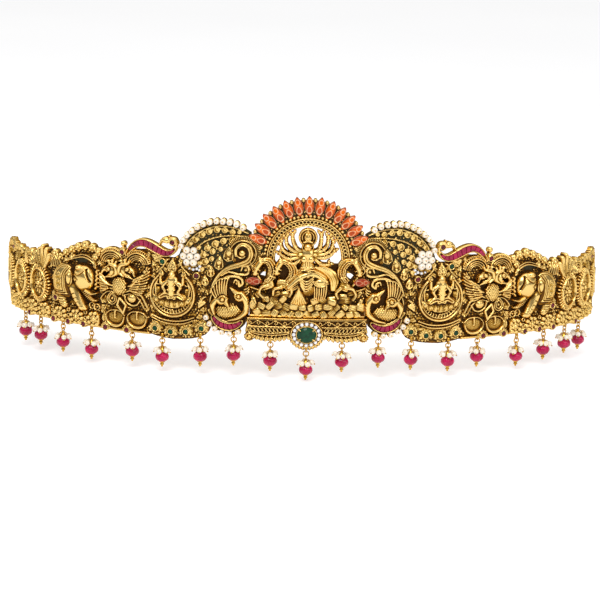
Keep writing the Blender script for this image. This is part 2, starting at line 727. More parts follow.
def pearl():
    return mottled("pearl", (300, 4), (0.84, 0.72, 0.56), (0.93, 0.86, 0.75), (900, 3), 0.06, 0.0001,
                   Roughness=0.22, Coat_Weight=0.5, Coat_Roughness=0.08, Sheen_Weight=0.2,
                   Subsurface_Weight=0.2, Subsurface_Radius=(0.0012, 0.0009, 0.0007))


def white_stone():
    return mottled("white_stone", (900, 3), (0.62, 0.64, 0.68), (0.96, 0.96, 0.98), (1500, 2), 0.05, 0.00005,
                   Roughness=0.08, Metallic=0.25, Coat_Weight=0.8)


def enamel():
    """Orange that runs to red where depth says so, with cream lines."""
    m, t, b = new_material("orange_enamel", Roughness=0.26, Specular_IOR_Level=0.22, Coat_Weight=0.06,
                           Coat_Roughness=0.08)
    n = noise(t, 520, 4)
    low = attribute(t, "depth")
    orange = blend(t, n, (0.62, 0.085, 0.002), (0.80, 0.150, 0.004))
    red = blend(t, n, (0.22, 0.013, 0.001), (0.38, 0.036, 0.003))
    t.links.new(mix(t, attribute(t, "cream"), mix(t, low, orange, red), (0.86, 0.58, 0.32)),
                b.inputs["Base Color"])
    bump(t, b, noise(t, 1400, 3), 0.15, 0.0001)
    return m


GOLD, BRIGHT = antique_gold(), polished_gold()
RUBY = ruby("ruby", (0.30, 0.002, 0.038), (0.56, 0.008, 0.090))
EMERALD = emerald()
DARK_RUBY = ruby("small_ruby", (0.05, 0.001, 0.006), (0.20, 0.004, 0.026))
CUT_RUBY = ruby("cut_ruby", (0.16, 0.0015, 0.022), (0.42, 0.006, 0.062))
ENAMEL, PEARL, WHITE = enamel(), pearl(), white_stone()

# Places shared with the CAD source
ARCH = (0.0, 40.5)
PETAL_TURN = 11.6
EMERALD_C = (0.0, 4.0)
BORDER = [(31, 54.5), (34, 56), (37.2, 56.8), (40.4, 57), (43.6, 57), (46.8, 56.4), (49.9, 55.2),
          (52.8, 53.6), (55.5, 51.6), (57.8, 49.4), (59.6, 46.8), (60.6, 43.9)]
FLOWER = (55.9, 39.4)
CRESCENT_C = (37.2, 14.6)
CRESCENT_R = 8.2
CRESCENT_A0, CRESCENT_A1 = 219, 337
CRESCENT_PEARLS = [around(CRESCENT_C, 11.6, math.radians(a)) for a in (338, 321, 304, 286, 267, 246.6)]
FLOWER_PEARLS = evenly(6, FLOWER, 3.35)
RUBIES = [(53, 30), (91.2, 38), (88.3, 0.3), (100, 0.3), (112.2, 0.3), (121.4, 0.3), (130.6, 0.3),
          (148.8, 0.3), (128.5, 11.4), (168, 29.6)]
EMERALDS = [(50.2, 4.6), (57.9, 2.4), (65.5, 1.8), (73.4, 2.8), (70, 35.6)]
DROPS = [(0, -3.1), (17, 0.8), (34.5, 2.6), (50.7, 1.0), (69.8, -0.8), (85.5, 0.2), (108.3, -1.8),
         (125.6, -0.7), (141.2, 0.2), (155, -0.4)]
EYE_DROP, EYE_OUT = 0.8, 0.5
SIDE_PETAL = (26.2, 29.4)
# The outer plates between their joints, and their lower strip
PLATES = {"bird": (76.1, 103.0), "elephant": (103.1, 133.0), "wheel": (133.1, 165.0), "end": (165.1, 190.1)}
FOOT_Z, STRIP_Z, STRIP_TOP = -0.6, 3.4, 7.6


def stone_out(p):
    """How far a small stone of the lower strip stands out."""
    return 0.8 if p[0] > 103 and p[1] < 5 else 0.0


def crescent_half(x):
    """Half width of the crescent's channel, from 0 to 1 along it."""
    return 0.5 + np.sin(pi * np.clip(x, 0, 1)) ** 0.9


# Centre arch
def horse(R, neck, head, facing):
    """Head and neck of a horse. Its neck is a line from poll to chest, its head one from poll to nose."""
    n = curve(neck)
    R.stroke(n, [1.5, 2.3, 2.5, 2.3, 1.9], 2.8, 0.6, comb=4, shape=True)
    for k in range(3):
        R.stroke(n + [-facing * (0.5 - 0.9 * k), 0.3 - 0.5 * k], [0.25, 0.4, 0.3], 3.0 - 0.25 * k, 0.7,
                 rope=0.25, pitch=1.4)
    h = curve(head)
    R.stroke(h, [1.75, 1.7, 1.25, 1.15], 3.0, 0.9, shape=True)
    R.dome(head[-1][0], head[-1][1], 1.3, 1.4, 0.85, 0, 2.3, shape=True)
    (ps, pz), (qs, qz) = head[0], head[-1]
    R.ball(ps + (qs - ps) * 0.30 + facing * 0.2, pz + (qz - pz) * 0.28, 0.55, base=3.3)
    R.stroke([(ps + facing * 0.9, pz - 0.3), (qs + facing * 0.3, qz + 0.6)], 0.28, 0.6, 3.2)
    R.leaf(ps - facing * 0.2, pz + 0.2, 90 - facing * 12, 3.0, 1.5, 1.5, 2.1, shape=True)
    R.leaf(ps - facing * 1.4, pz + 0.2, 90 + facing * 16, 2.6, 1.3, 1.4, 2.0, shape=True)
    for k in (0.55, 0.86):
        c = np.array([ps + (qs - ps) * k, pz + (qz - pz) * k])
        R.stroke([c + [-1.35, -facing * 0.7], c + [1.35, facing * 0.7]], 0.26, 0.7, 3.1)
    R.ball(qs + facing * 0.3, qz - 0.1, 0.3, base=3.2)


def arch_rings(R):
    """Filigree ring, beaded rim and the edge."""
    R.ring(*ARCH, 18.0, 2.4, 0.7, -8, 188)
    for r, h in ((16.1, 1.7), (19.25, 1.7)):
        R.ring(*ARCH, r, 0.48, h, -8, 188)
    for a in np.radians(np.arange(-4, 186, 5.6)):
        c = around(ARCH, 17.7, a)
        R.ring(*c, 0.85, 0.32, 0.9, base=0.6)
        R.ball(*around(c, 0.9, a + 1.5), 0.34, base=0.9)
    for a in np.radians(np.arange(-9, 190, 5.4)):
        R.ball(*around(ARCH, 20.55, a), 0.86, base=0.5)
    for i in range(-6, 7):
        a = 90 + PETAL_TURN * i
        R.leaf(*around(ARCH, 20.7, math.radians(a)), a, 9.4, 4.4, 0.55, vein=0, shape=True, blunt=1.0)
    for i in np.arange(-6.5, 7):
        a = math.radians(90 + PETAL_TURN * i)
        R.ball(*around(ARCH, 28.1, a), 0.95, base=0.6, shape=True)
        R.ball(*around(ARCH, 22.3, a), 0.5, base=0.1)


def arch_sides(R):
    """Leaves beside the arch, and the scrolls and blocks below."""
    for m in (-1, 1):
        side = about(0, 0, m)
        R.ball(m * 22.4, 45.4, 1.15, base=0.4)
        R.ball(m * 25.0, 46.4, 0.8, base=0.3)
        R.fan(m * 21.6, 39.8, 0.3, 40, 140, 5, 3.2, 1.2, 1.5, 0.4)
        R.fan(m * 25.6, 40.2, 0.3, 60, 150, 4, 2.6, 1.1, 1.2, 0.3)
        # scrolls and blocks below the horses
        R.stroke(spiral(m * 24.6, 34.8, 0.5, 2.4, 0, 420), 0.55, 1.6, 0.3)
        R.bend(side((27, 38), (24, 33), (21, 27.5), (16, 25.8)), [0.5, 0.9, 0.5], 1.4, 0.4)
        R.bend(side((26.8, 26.4), (22, 25.2), (17, 26.4), (12, 25.6)), 0.6, 2.2, 0.3, rope=0.3)
        R.dome(m * 25.4, SIDE_PETAL[1], 4.6, 1.9, 0.46, 0, 0.3)
        R.block(m * 23.4, 22.6, m * 40, 1.7, 1.3, 1.7, 0.2, 0.8)
        R.block(m * 25.2, 19.4, m * 70, 2.0, 1.2, 1.5, 0.2, 0.8)


def horse_bodies(R):
    """Chests, raised forelegs and harness."""
    for s, z, turn, a, b, h in [(-18.6, 27.8, 20, 3.2, 2.4, 2.9), (-12.0, 28.6, -6, 2.8, 2.5, 2.8),
                                (-14.8, 23.6, 30, 2.6, 1.9, 2.4), (-10.8, 23.4, 8, 2.7, 1.8, 2.5),
                                (17.2, 27.4, -20, 2.9, 2.4, 2.8), (20.8, 24.2, 10, 2.5, 1.7, 2.3),
                                (16.6, 22.4, 0, 2.5, 1.8, 2.3), (11.6, 21.4, 10, 2.6, 1.6, 2.4),
                                (24.4, 24.0, 40, 1.8, 1.3, 1.8)]:
        R.block(s, z, turn, a, b, h, 0.12, 1.1)
    for leg in ([(-18.6, 27.6), (-21.6, 26.6), (-22.4, 23.8), (-20.6, 21.6)],
                [(-12.4, 27.0), (-15.6, 25.8), (-16.0, 23.2)], [(-9.4, 28.2), (-7.4, 25.4), (-8.4, 22.6)],
                [(17.8, 27.0), (21.2, 26.2), (22.6, 23.4), (21.4, 21.2)],
                [(15.4, 26.8), (13.4, 24.6), (14.2, 22.0)]):
        R.bend(leg, [1.25, 0.95, 0.8], 2.2, 1.2)
        R.ball(*leg[-1], 0.95, base=1.6)
    R.stroke([(-22.8, 23.6), (-18.6, 20.2)], 1.4, 2.4, 0.6, comb=3)
    R.scales(-15.6, 19.2, 3.6, 2.0, 0.6, 1.0, 0, 0.4)
    for m in (-1, 1):
        side = about(0, 0, m)
        R.bend(side((15.2, 31.6), (17.6, 32.2), (19.2, 30.6)), 0.34, 0.8, 3.0, rope=0.5, pitch=0.7)


def strands(R):
    """Strands that hang beside the figure."""
    for k in range(9):
        x = k * 0.8
        R.bend([(2.4 + x * 0.8, 36.6 + x * 0.12), (7.0 + x * 0.85, 34.4), (10.4 + x * 0.6, 30.6),
                (11.2 + x * 0.3, 25.8)], 0.62, 2.2 - 0.09 * abs(k - 4) + 0.15 * (k % 2), 0.4)
    for k in range(6):
        R.bend([(-2.0 - 0.9 * k, 35.4), (-5.2 - 0.75 * k, 31.2), (-7.6 - 0.5 * k, 26.0)], 0.55,
               1.9 + 0.15 * (k % 2), 0.4)
    R.dome(0, 29.5, 9.0, 1.6, 0.8, 0, 0.3)
    R.fan(1.0, 34.0, 2.0, 200, 340, 13, 9.5, 1.5, 1.3, 0.9)


def heap(R):
    """Heap of rough blocks."""
    for row, z in enumerate((14.2, 17.3, 20.6)):
        for i in range(-7, 8):
            s = i * 3.9 + (row % 2) * 1.9 + rng.uniform(-0.5, 0.5)
            if abs(s) > 26.0 or row == 2 and abs(s) > 23 or row == 2 and -8 < s < 1:
                continue
            R.block(s, z + rng.uniform(-0.5, 0.5), rng.uniform(-60, 60), rng.uniform(2.1, 2.9),
                    rng.uniform(1.6, 2.2), rng.uniform(1.8, 3.1), rng.uniform(-0.4, 0.4),
                    rng.uniform(0.7, 1.0) if rng.random() < 0.7 else 0)
    R.G[(R.Z < 24) & (R.G < 0.2)] = 0.16
    R.stroke([(-27.2, 12.7), (27.2, 12.7)], 0.6, 1.6)


def centre():
    foot, half = 12.2, 27.3
    R = Relief(-29.6, 29.6, foot, 70.6, 0.21)
    ring = R.circle(*ARCH, 28.0)
    box = np.minimum(half - np.abs(R.S), np.minimum(R.Z - foot, 41.5 - R.Z))
    R.F = np.maximum(ring, box)
    R.F = np.where(R.Z < foot + 0.4, np.minimum(R.F, R.Z - foot), R.F)
    opening = np.minimum(R.circle(*ARCH, 15.6), R.Z - 38.0)
    R.G[:] = np.where((np.hypot(R.S, R.Z - ARCH[1]) > 20.6) & (R.Z > 41), 1.0, 0.0)
    arch_rings(R)
    arch_sides(R)
    R.F = np.minimum(R.F, -opening)
    horse(R, [(-21.6, 39.4), (-18.4, 38.9), (-16.7, 35.8), (-17.0, 32.2), (-18.8, 29.6)],
          [(-22.2, 38.4), (-23.4, 36.6), (-24.2, 34.6), (-24.6, 33.0)], -1)
    horse(R, [(-12.2, 39.6), (-8.9, 38.4), (-7.0, 35.4), (-7.4, 32.2), (-9.2, 30.0)],
          [(-12.8, 38.6), (-13.8, 36.9), (-14.4, 35.2), (-14.6, 33.6)], -1)
    horse(R, [(21.6, 39.6), (18.2, 39.1), (16.1, 36.2), (15.9, 32.9), (17.4, 30.2)],
          [(22.3, 38.6), (23.4, 36.8), (24.0, 34.9), (24.2, 33.2)], 1)
    horse_bodies(R)
    strands(R)
    heap(R)
    # openings beside the necks
    for gap in ([(-19.9, 34.9), (-22.6, 32.0), (-20.1, 31.5)],
                [(18.7, 34.8), (21.9, 32.4), (20.4, 30.6), (18.5, 32.2)]):
        R.F = np.minimum(R.F, -R.polygon(gap))
    R.fill(1.5, 0.75, 0.8, lambda s, z: z > 13.4 and math.dist((s, z), ARCH) > 15.8)
    R.finish(0.45)
    R.make("centre_arch_relief", "centre_arch")


# Goddess
AXIS = -0.3


def limb(R, points, width, h, base=0.9, **more):
    R.bend(points, width, h, base, shape=True, **more)


def halo(R):
    """Plain disc with a beaded ring, behind the head."""
    R.disc(AXIS, 51.0, 4.5, 1.7, shape=True)
    R.ring(AXIS, 51.0, 4.0, 0.62, 1.2, base=1.3)
    R.ring(AXIS, 51.0, 2.7, 0.3, 0.6, base=1.6)
    for a in np.radians(np.arange(0, 360, 12)):
        R.ball(*around((AXIS, 50.8), 3.45, a), 0.27, base=1.5)


def arms_and_hands(R):
    """Arms, five on each side, with bracelets and what the hands hold."""
    left = [[(-3.0, 43.9), (-5.6, 45.6), (-7.3, 49.4), (-7.6, 52.4)],
            [(-3.4, 43.4), (-7.2, 44.6), (-10.0, 47.2), (-10.6, 50.6)],
            [(-3.6, 42.8), (-8.2, 42.8), (-11.6, 44.6), (-13.0, 47.6)],
            [(-3.4, 42.0), (-7.4, 40.8), (-10.4, 41.2), (-13.2, 43.0)],
            [(-3.2, 41.4), (-6.2, 38.6), (-9.0, 38.8)]]
    right = [[(2.4, 43.9), (5.0, 45.6), (5.9, 49.4), (5.8, 52.6)],
             [(2.8, 43.4), (6.4, 44.8), (8.7, 47.4), (9.2, 51.2)],
             [(3.0, 42.8), (7.2, 43.2), (10.4, 45.4), (11.4, 49.0)],
             [(2.8, 42.0), (6.8, 41.4), (9.8, 42.4), (12.0, 44.8)],
             [(2.8, 41.2), (6.0, 38.4), (9.6, 38.2)]]
    for side, arms in ((-1, left), (1, right)):
        for k, arm in enumerate(arms):
            limb(R, arm, [1.35, 1.2, 1.05, 0.85], 2.2, 0.8 + 0.1 * k)
            p = curve(arm)
            for f in (0.45, 0.8):
                i = int(f * (len(p) - 1))
                way = p[i + 2] - p[i]
                across = 1.1 * way[::-1] * [1, -1] / np.linalg.norm(way)
                R.stroke([p[i] - across, p[i] + across], 0.3, 0.55, 2.75 + 0.1 * k)
            hs, hz = arm[-1]
            R.dome(hs, hz, 1.15, 1.9, 1.1, base=1.2, shape=True)
            R.leaf(hs - side * 0.3, hz + 0.2, 90 + side * (38 - 14 * k), 2.6, 1.7, 1.5, 1.4, shape=True)
            R.leaf(hs + side * 0.3, hz + 0.1, 90 - side * (32 + 12 * k), 2.4, 1.5, 1.5, 1.4, shape=True)
            R.ball(hs + side * 0.9, hz - 0.5, 0.5, base=1.7, shape=True)


def head_and_crown(R):
    """Hair and crown, face, neck."""
    R.dome(AXIS, 48.0, 2.9, 2.0, 0.92, 0, 1.0, shape=True)
    R.dome(AXIS, 51.0, 1.85, 2.7, 1.45, 0, 1.5, shape=True)
    R.trace([(AXIS, 49.8), (AXIS, 53.0)], 0.25, 0.35)
    for m in (-1, 1):
        R.trace(curve([(AXIS + m * 0.5, 49.8), (AXIS + m * 1.1, 51.2), (AXIS + m * 0.4, 53.0)]), 0.2, -0.35)
    R.stroke([(-2.3, 48.9), (AXIS, 49.4), (1.7, 48.9)], 0.4, 0.6, 3.2, rope=0.4, pitch=0.6)
    R.ball(AXIS, 53.9, 0.5, base=2.0, shape=True)
    limb(R, [(AXIS, 43.4), (AXIS, 45.2)], 1.3, 1.9, 1.0)
    R.face(AXIS, 46.3, 4.0, 5.0, 3.0, 1.3)
    for m in (-1, 1):
        R.ball(AXIS + m * 2.35, 45.4, 0.5, base=1.9, shape=True)
        R.stroke([(AXIS + m * 2.3, 47.2), (AXIS + m * 3.0, 43.8)], 0.42, 1.0, 1.4, comb=2, shape=True)


def torso(R):
    """Torso with necklaces and sash."""
    limb(R, [(-3.9, 42.8), (AXIS, 43.1), (3.2, 42.8)], 1.5, 2.4, 1.2)
    limb(R, [(AXIS, 42.8), (AXIS, 39.6), (AXIS, 36.8)], [3.9, 3.3, 2.9, 3.5], 2.8, 1.3)
    for m in (-1, 1):
        R.dome(AXIS + m * 1.55, 40.6, 1.6, 1.2, base=3.2)
    for w, z in ((1.3, 42.4), (1.9, 41.2), (2.0, 39.2)):
        R.bend([(AXIS - w, z + 1.0), (AXIS, z - 0.5), (AXIS + w, z + 1.0)], 0.26, 0.45, 3.5, rope=0.5,
               pitch=0.5)
    R.stroke([(-4.0, 36.8), (3.4, 36.8)], 0.55, 1.5, 2.9, rope=0.4, pitch=0.7)
    R.stroke([(-3.8, 35.6), (3.2, 35.6)], 0.42, 1.2, 2.9)
    for k in (-1, 0, 1):
        R.trace([(AXIS + 0.9 * k, 39.6), (AXIS + 1.1 * k, 37.4)], 0.22, -0.3)


def folded_legs(R):
    """Seated legs under folded cloth."""
    R.dome(-0.4, 31.0, 6.6, 2.6, 0.66, 0, 0.8, shape=True)
    R.dome(-1.0, 29.4, 5.6, 2.5, 0.68, 48, 1.1, shape=True)
    limb(R, [(1.6, 33.6), (-3.4, 31.8), (-8.8, 27.2)], [2.3, 2.1, 1.5], 3.0, 1.4)
    limb(R, [(-1.6, 35.2), (-5.6, 32.9), (-9.8, 28.9)], [0.9, 0.9, 0.7], 2.2, 1.3, comb=2)
    limb(R, [(0.4, 34.2), (4.2, 33.2), (7.4, 31.0)], [2.3, 2.3, 2.0], 3.0, 1.3)
    R.trace(curve([(-0.6, 32.2), (-4.2, 30.2), (-8.2, 26.8)]), 0.3, -0.5)
    R.trace(curve([(1.6, 35.0), (4.8, 34.2), (8.0, 32.2)]), 0.3, -0.5)
    R.trace(curve([(0.8, 32.6), (4.0, 31.8), (6.6, 30.4)]), 0.3, -0.5)
    R.dome(5.9, 29.6, 3.9, 3.4, 0.72, 0, 1.2, shape=True)
    for k in range(4):
        R.stroke(arc(5.9, 30.6, 3.4 - 0.75 * k, 185, 355, 16, 2.9 - 0.65 * k), 0.34, 0.7, 3.7)
    limb(R, [(-9.0, 27.2), (-7.0, 26.2), (-5.0, 27.4)], 1.1, 2.2, 1.2, comb=2)
    for k in range(5):
        R.bend([(-4.4 + 0.3 * k, 33.0 - k * 1.2), (-0.9, 30.2 - k * 1.25),
                (2.6 - 0.2 * k, 32.4 - k * 1.2)], 0.5, 1.0, 3.4 - 0.1 * k, shape=True)


def hanging_cloth(R):
    """Hanging cloth: fan of pleats on the left, fringe on the right."""
    for k, a in enumerate(np.linspace(-24, 24, 7)):
        r = math.radians(a - 90)
        limb(R, [(-4.1, 26.8), (-4.1 + 8.0 * math.cos(r), 26.8 + 7.7 * math.sin(r))], [0.55, 0.8],
             2.2 + 0.25 * (k % 2), 0.9)
    limb(R, [(-7.0, 19.6), (-3.6, 18.5), (-0.2, 19.4)], 0.5, 2.0, 0.9, rope=0.5, pitch=0.7)
    R.ball(-3.6, 26.6, 1.2, base=1.6, shape=True)
    for k in range(6):
        x = 3.0 + k * 1.15
        limb(R, [(x, 28.0), (x + 0.3 - 0.1 * k, 24.4), (x + 0.1 - 0.2 * k, 20.6 + 0.2 * k)],
             [0.68, 0.66, 0.5], 2.2, 0.9)
    limb(R, [(-7.6, 27.4), (-8.4, 25.8), (-9.6, 25.2)], [1.0, 0.9, 0.7], 1.8, 1.0)


def goddess():
    R = Relief(-15.6, 15.6, 17.6, 56.4, 0.17, base=0.6)
    R.G[:] = 0.1
    halo(R)
    arms_and_hands(R)
    head_and_crown(R)
    torso(R)
    folded_legs(R)
    hanging_cloth(R)
    R.finish(0.45)
    R.H = np.maximum(R.H, 0.45)
    R.make("goddess_relief", "goddess_figure", back=0.15)


# Base rail
def emerald_setting(R):
    """Setting of the emerald."""
    zc = EMERALD_C[1]
    w = np.hypot(R.S, (R.Z - zc) / 0.86)
    R.F = np.maximum(R.F, (8.1 - w) * 0.93)
    R.H = np.where(w < 8.1, np.where(w < 4.75, 0.4, 1.35), R.H)
    R.G = np.where(w < 8.1, 0, R.G)
    R.stroke(arc(0, zc, 4.75, 0, 360, 60, 4.0), 0.34, 1.1, 1.2)
    R.stroke(arc(0, zc, 7.35, 0, 360, 60, 6.35), 0.42, 0.9, 1.2, rope=0.5, pitch=0.8)
    for s, z in spaced(arc(0, zc, 8.0, 172, 368, 60, 6.95), 1.55):
        R.ball(s, z, 0.82, base=0.5, shape=True)
    for a in (40, 140, 220, 320):
        c, d = unit(a)
        R.stroke([(5.2 * c, zc + 4.5 * d), (3.7 * c, zc + 3.1 * d)], 0.42, 1.1, 2.1)
    R.dome(0, -2.4, 1.0, 1.3, base=0.2, shape=True)


def rail_scrolls(R):
    """Running scrolls between the two upper edges."""
    for k in range(14):
        s = -27 + k * 4.15
        up = 1 if k % 2 else -1
        R.stroke(spiral(s, 9.2, 0.25, 1.15, 90 * up, 90 * up + 400 * up), [0.22, 0.34], 0.95, 1.0)
        R.bend([(s + 1.1, 9.2 + 0.6 * up), (s + 2.1, 9.2), (s + 3.0, 9.2 - 0.7 * up)], 0.28, 0.85, 1.0)
        R.ball(s + 2.1, 9.2 + 0.95 * up, 0.36, base=1.0)


def rail_leaves(R):
    """Leaning loops, rope lines, a row of leaves and a curl at each end."""
    for m in (-1, 1):
        loop = arc(0, 0, 0.66, 0, 360, 20, 1.3)
        lean = math.radians(-32 * m)
        loop = loop @ [[math.cos(lean), math.sin(lean)], [-math.sin(lean), math.cos(lean)]]
        for k in range(11):
            s = 9.2 + k * 1.8
            R.stroke(loop + [m * s, 5.9], 0.24, 1.1, 0.9)
            R.ball(m * (s + 0.9), 6.7, 0.28, base=1.1)
        line = curve([(7.4, 4.6), (11, 3.9), (17, 3.4), (23, 3.8), (27.4, 5.0)])
        R.stroke(line * [m, 1], 0.4, 1.3, 1.1, rope=0.55, pitch=0.8)
        R.stroke((line + [0, 0.9]) * [m, 1], 0.22, 1.0, 1.1)
        for s, z in spaced(curve([(8.2, 3.0), (12, 1.9), (17, 1.4), (22, 1.9), (26, 3.4)]), 1.95):
            R.leaf(m * (s - 0.1), z + 1.0, -90 + m * (30 + (s - 17) * 2.2), 3.1, 2.0, 1.8, 0.6, shape=True)
            R.ball(m * (s + 0.2), z + 1.5, 0.42, base=1.4)
        R.disc(m * 27.2, 2.4, 2.2, 0.8, shape=True)
        R.stroke(spiral(m * 27.2, 2.4, 0.5, 1.8, 90, 90 + 430 * m, 40), 0.5, 1.3, 0.9, shape=True)
        R.ball(m * 27.2, 2.4, 0.7, base=1.2)
        first = -150 if m > 0 else 180
        R.beads(arc(m * 27.2, 2.4, 2.2, first, first + 150), 0.42, 0.95, 0.5, shape=True)


def rail():
    R = Relief(-30.4, 30.4, -3.4, 12.2, 0.17, base=0.3)
    for m in (-1, 1):
        pts = [(6, 12.1), (28.4, 12.1), (28.6, 7.6), (29.2, 4.6), (25.6, 1.4), (21.0, 0.2), (16.6, 0.1),
               (12.4, 0.9), (8.6, 2.4), (6, 3.4)]
        R.outline([(m * s, z) for s, z in (pts if m > 0 else pts[::-1])])
    R.F = np.maximum(R.F, np.minimum(6.5 - np.abs(R.S), np.minimum(12.1 - R.Z, R.Z - 3)))
    R.H += 0.7 * np.clip(1 - ((R.Z - 7) / 7) ** 2, 0, 1)
    R.stroke([(-28.2, 11.6), (28.2, 11.6)], 0.62, 2.4, 0.4)
    R.stroke([(-28.0, 10.7), (28.0, 10.7)], 0.25, 1.3, 0.6)
    R.stroke([(-28.2, 7.6), (28.2, 7.6)], 0.42, 1.9, 0.5)
    rail_scrolls(R)
    rail_leaves(R)
    emerald_setting(R)
    R.finish()
    R.make("base_rail_relief", "base_rail")


# Wing panels
WING_S = 76.1
WING = [(26.9, 52.2), (30.0, 54.0), (34, 55.4), (38, 56.3), (42, 56.5), (46, 55.9), (50, 54.5),
        (53.6, 52.4), (56.8, 49.6), (59.4, 46.2), (60.9, 42.6), (62.0, 39.6), (64.5, 37.8), (68.0, 37.7),
        (71, 39.2), (WING_S, 40.6), (WING_S, -0.4), (73.4, -1.0), (69.4, -1.7), (64.5, -1.9), (59.5, -1.5),
        (55, -0.9), (51.4, 0.0), (48.2, 1.6), (46.6, 3.6), (45.6, 6.0), (43.0, 4.4), (39.4, 3.5),
        (35.4, 3.6), (31.8, 5.2), (29.4, 7.6), (28.2, 10.4), (27.5, 13.6), (27.3, 22), (27.3, 33),
        (28.2, 38), (28.3, 43), (27.4, 48)]


def sprig(R, s, z, turn, size):
    """Three small leaves and a ball, to fill a gap."""
    for d in (-42, 0, 42):
        R.leaf(s, z, turn + d, 2.6 * size, 1.3 * size, 1.1, 0.4, rib=0.6)
    R.ball(s, z, 0.55 * size, base=0.9)


def sprigs(R, size, places):
    for place in places:
        sprig(R, *place, size)


def ogee(R, s, z, turn, l, w, h):
    """A pointed leaf with a smaller one on it, a ball at its foot and a line round each side."""
    R.leaf(s, z, turn, l, w, h, 0.5, rib=0.8, blunt=0.7)
    c, d = unit(turn)
    R.leaf(s + 0.25 * l * c, z + 0.25 * l * d, turn, l * 0.6, w * 0.5, h, 0.9, vein=0)
    R.ball(s + 0.6 * c, z + 0.6 * d, 0.8, base=1.0)
    for m in (-1, 1):
        line = [(s + m * w * wide * d + far * c, z - m * w * wide * c + far * d)
                for wide, far in ((0.0, -0.6), (0.42, 0.1 * l), (0.40, 0.42 * l))]
        R.bend(line, 0.3, 0.9, 0.9)


def small_figure(R, s, z):
    """Crossed legs, body, arms, head and crown, and what stands beside them."""
    at = about(s, z)
    for m in (-1, 1):
        R.bend(about(s, z, m)((5.6, -1.6), (2.5, -0.3), (-1.5, -1.7)), [1.8, 2.1, 1.5], 2.6, 1.0, comb=3)
    R.stroke(at((0, 0.3), (0, 4.0), (0, 6.4)), [2.2, 2.4, 3.3], 2.8, 1.0)
    R.dome(s, z + 3.0, 7.0, 0.9, 0.9, 0, 0.3)
    for x, y in ((1.6, 5.4), (1.9, 3.9), (1.9, 1.6)):
        R.bend(at((-x, y + 0.7), (0, y - 0.3), (x, y + 0.7)), 0.26, 0.5, 3.4, rope=0.5, pitch=0.5)
    for m in (-1, 1):
        side = about(s, z, m)
        R.bend(side((2.3, 6.0), (4.3, 3.6), (3.2, 1.2), (4.8, -0.4)), [1.25, 1.0, 0.85], 2.4, 1.1)
        R.bend(side((2.4, 6.0), (5.2, 5.0), (5.6, 8.2)), [1.15, 1.0, 0.8], 2.2, 1.0)
        R.leaf(*side(5.6, 7.8), 90, 3.6, 2.7, 1.9, 0.9, rib=0.7)
        R.block(*side(7.4, 1.0), 0, 1.5, 2.2, 1.8, 0.1, 0.8)
        R.stroke(spiral(s + m * 7.3, z + 5.2, 0.4, 1.7, 90, 90 - m * 420, 26), 0.42, 1.2, 0.6)
        R.bend(side((7.6, 8.0), (8.6, 3.0), (7.6, -2.0)), 0.4, 1.1, 0.5)
        R.ball(*side(4.4, 2.6), 0.5, base=1.6)
    R.leaf(s, z + 9.8, 90, 7.2, 4.8, 2.6, 1.1, rib=0.9)
    R.face(s, z + 9.2, 3.9, 4.7, 2.9, 1.3)
    for k in range(3):
        x, y = 1.7 - 0.4 * k, 11.4 + 1.3 * k
        R.stroke(at((-x, y), (x, y)), 0.3, 0.5, 2.3, rope=0.5, pitch=0.5)
    R.ball(s, z + 16.9, 0.6, base=1.2)
    for m in (-1, 1):
        side = about(s, z, m)
        R.leaf(*side(2.0, 10.4), 90 - m * 58, 3.8, 1.7, 1.3, 0.7, rib=0.6)
        R.leaf(*side(1.9, 12.6), 90 - m * 34, 3.4, 1.5, 1.3, 0.7, rib=0.6)
        R.bend(side((3.0, 16.2), (4.8, 13.0), (8.0, 9.8)), 0.6, 1.2, 0.4, rope=0.4)


def lotus(R, s, z):
    """Lotus petals in two rows."""
    for k in (3, -3, 2, -2, 1, -1, 0):
        x, rise, turn = s + k * 2.35, 0.24 * k * k, 90 - k * 10
        R.leaf(x, z - 7.0 + rise, turn, 5.4 - 0.25 * abs(k), 3.7, 2.2, 0.7 + 0.08 * (3 - abs(k)), vein=0.0)
        R.leaf(x, z - 6.5 + rise, turn, 3.8 - 0.2 * abs(k), 1.8, 1.9, 1.3, vein=0.15)


def deity(R, s, z):
    """Small seated figure on a lotus, in a crescent medallion."""
    R.disc(s, z, 11.3, 0.35, shape=True)
    for r, w, h in ((10.9, 0.75, 2.0), (9.7, 0.4, 1.6)):
        R.ring(s, z, r, w, h, 128, 412, base=0.3)
    R.ring(s, z + 1.9, 8.5, 0.4, 1.6, 150, 390, base=0.4)
    for k in range(-8, 9):
        a = math.radians(270 + k * 9.2)
        if k:
            c = around((s, z + 0.35), 9.2, a, 9.1)
            first, last = (40, 190) if k > 0 else (140, -10)
            R.stroke(arc(*c, 0.95, math.degrees(a) + first, math.degrees(a) + last, 8), 0.34, 1.0, 0.7)
    R.ring(s, z - 8.7, 0.95, 0.36, 1.1, base=0.8)
    R.ball(s, z - 8.7, 0.5, base=1.1)
    lotus(R, s, z)
    small_figure(R, s, z)


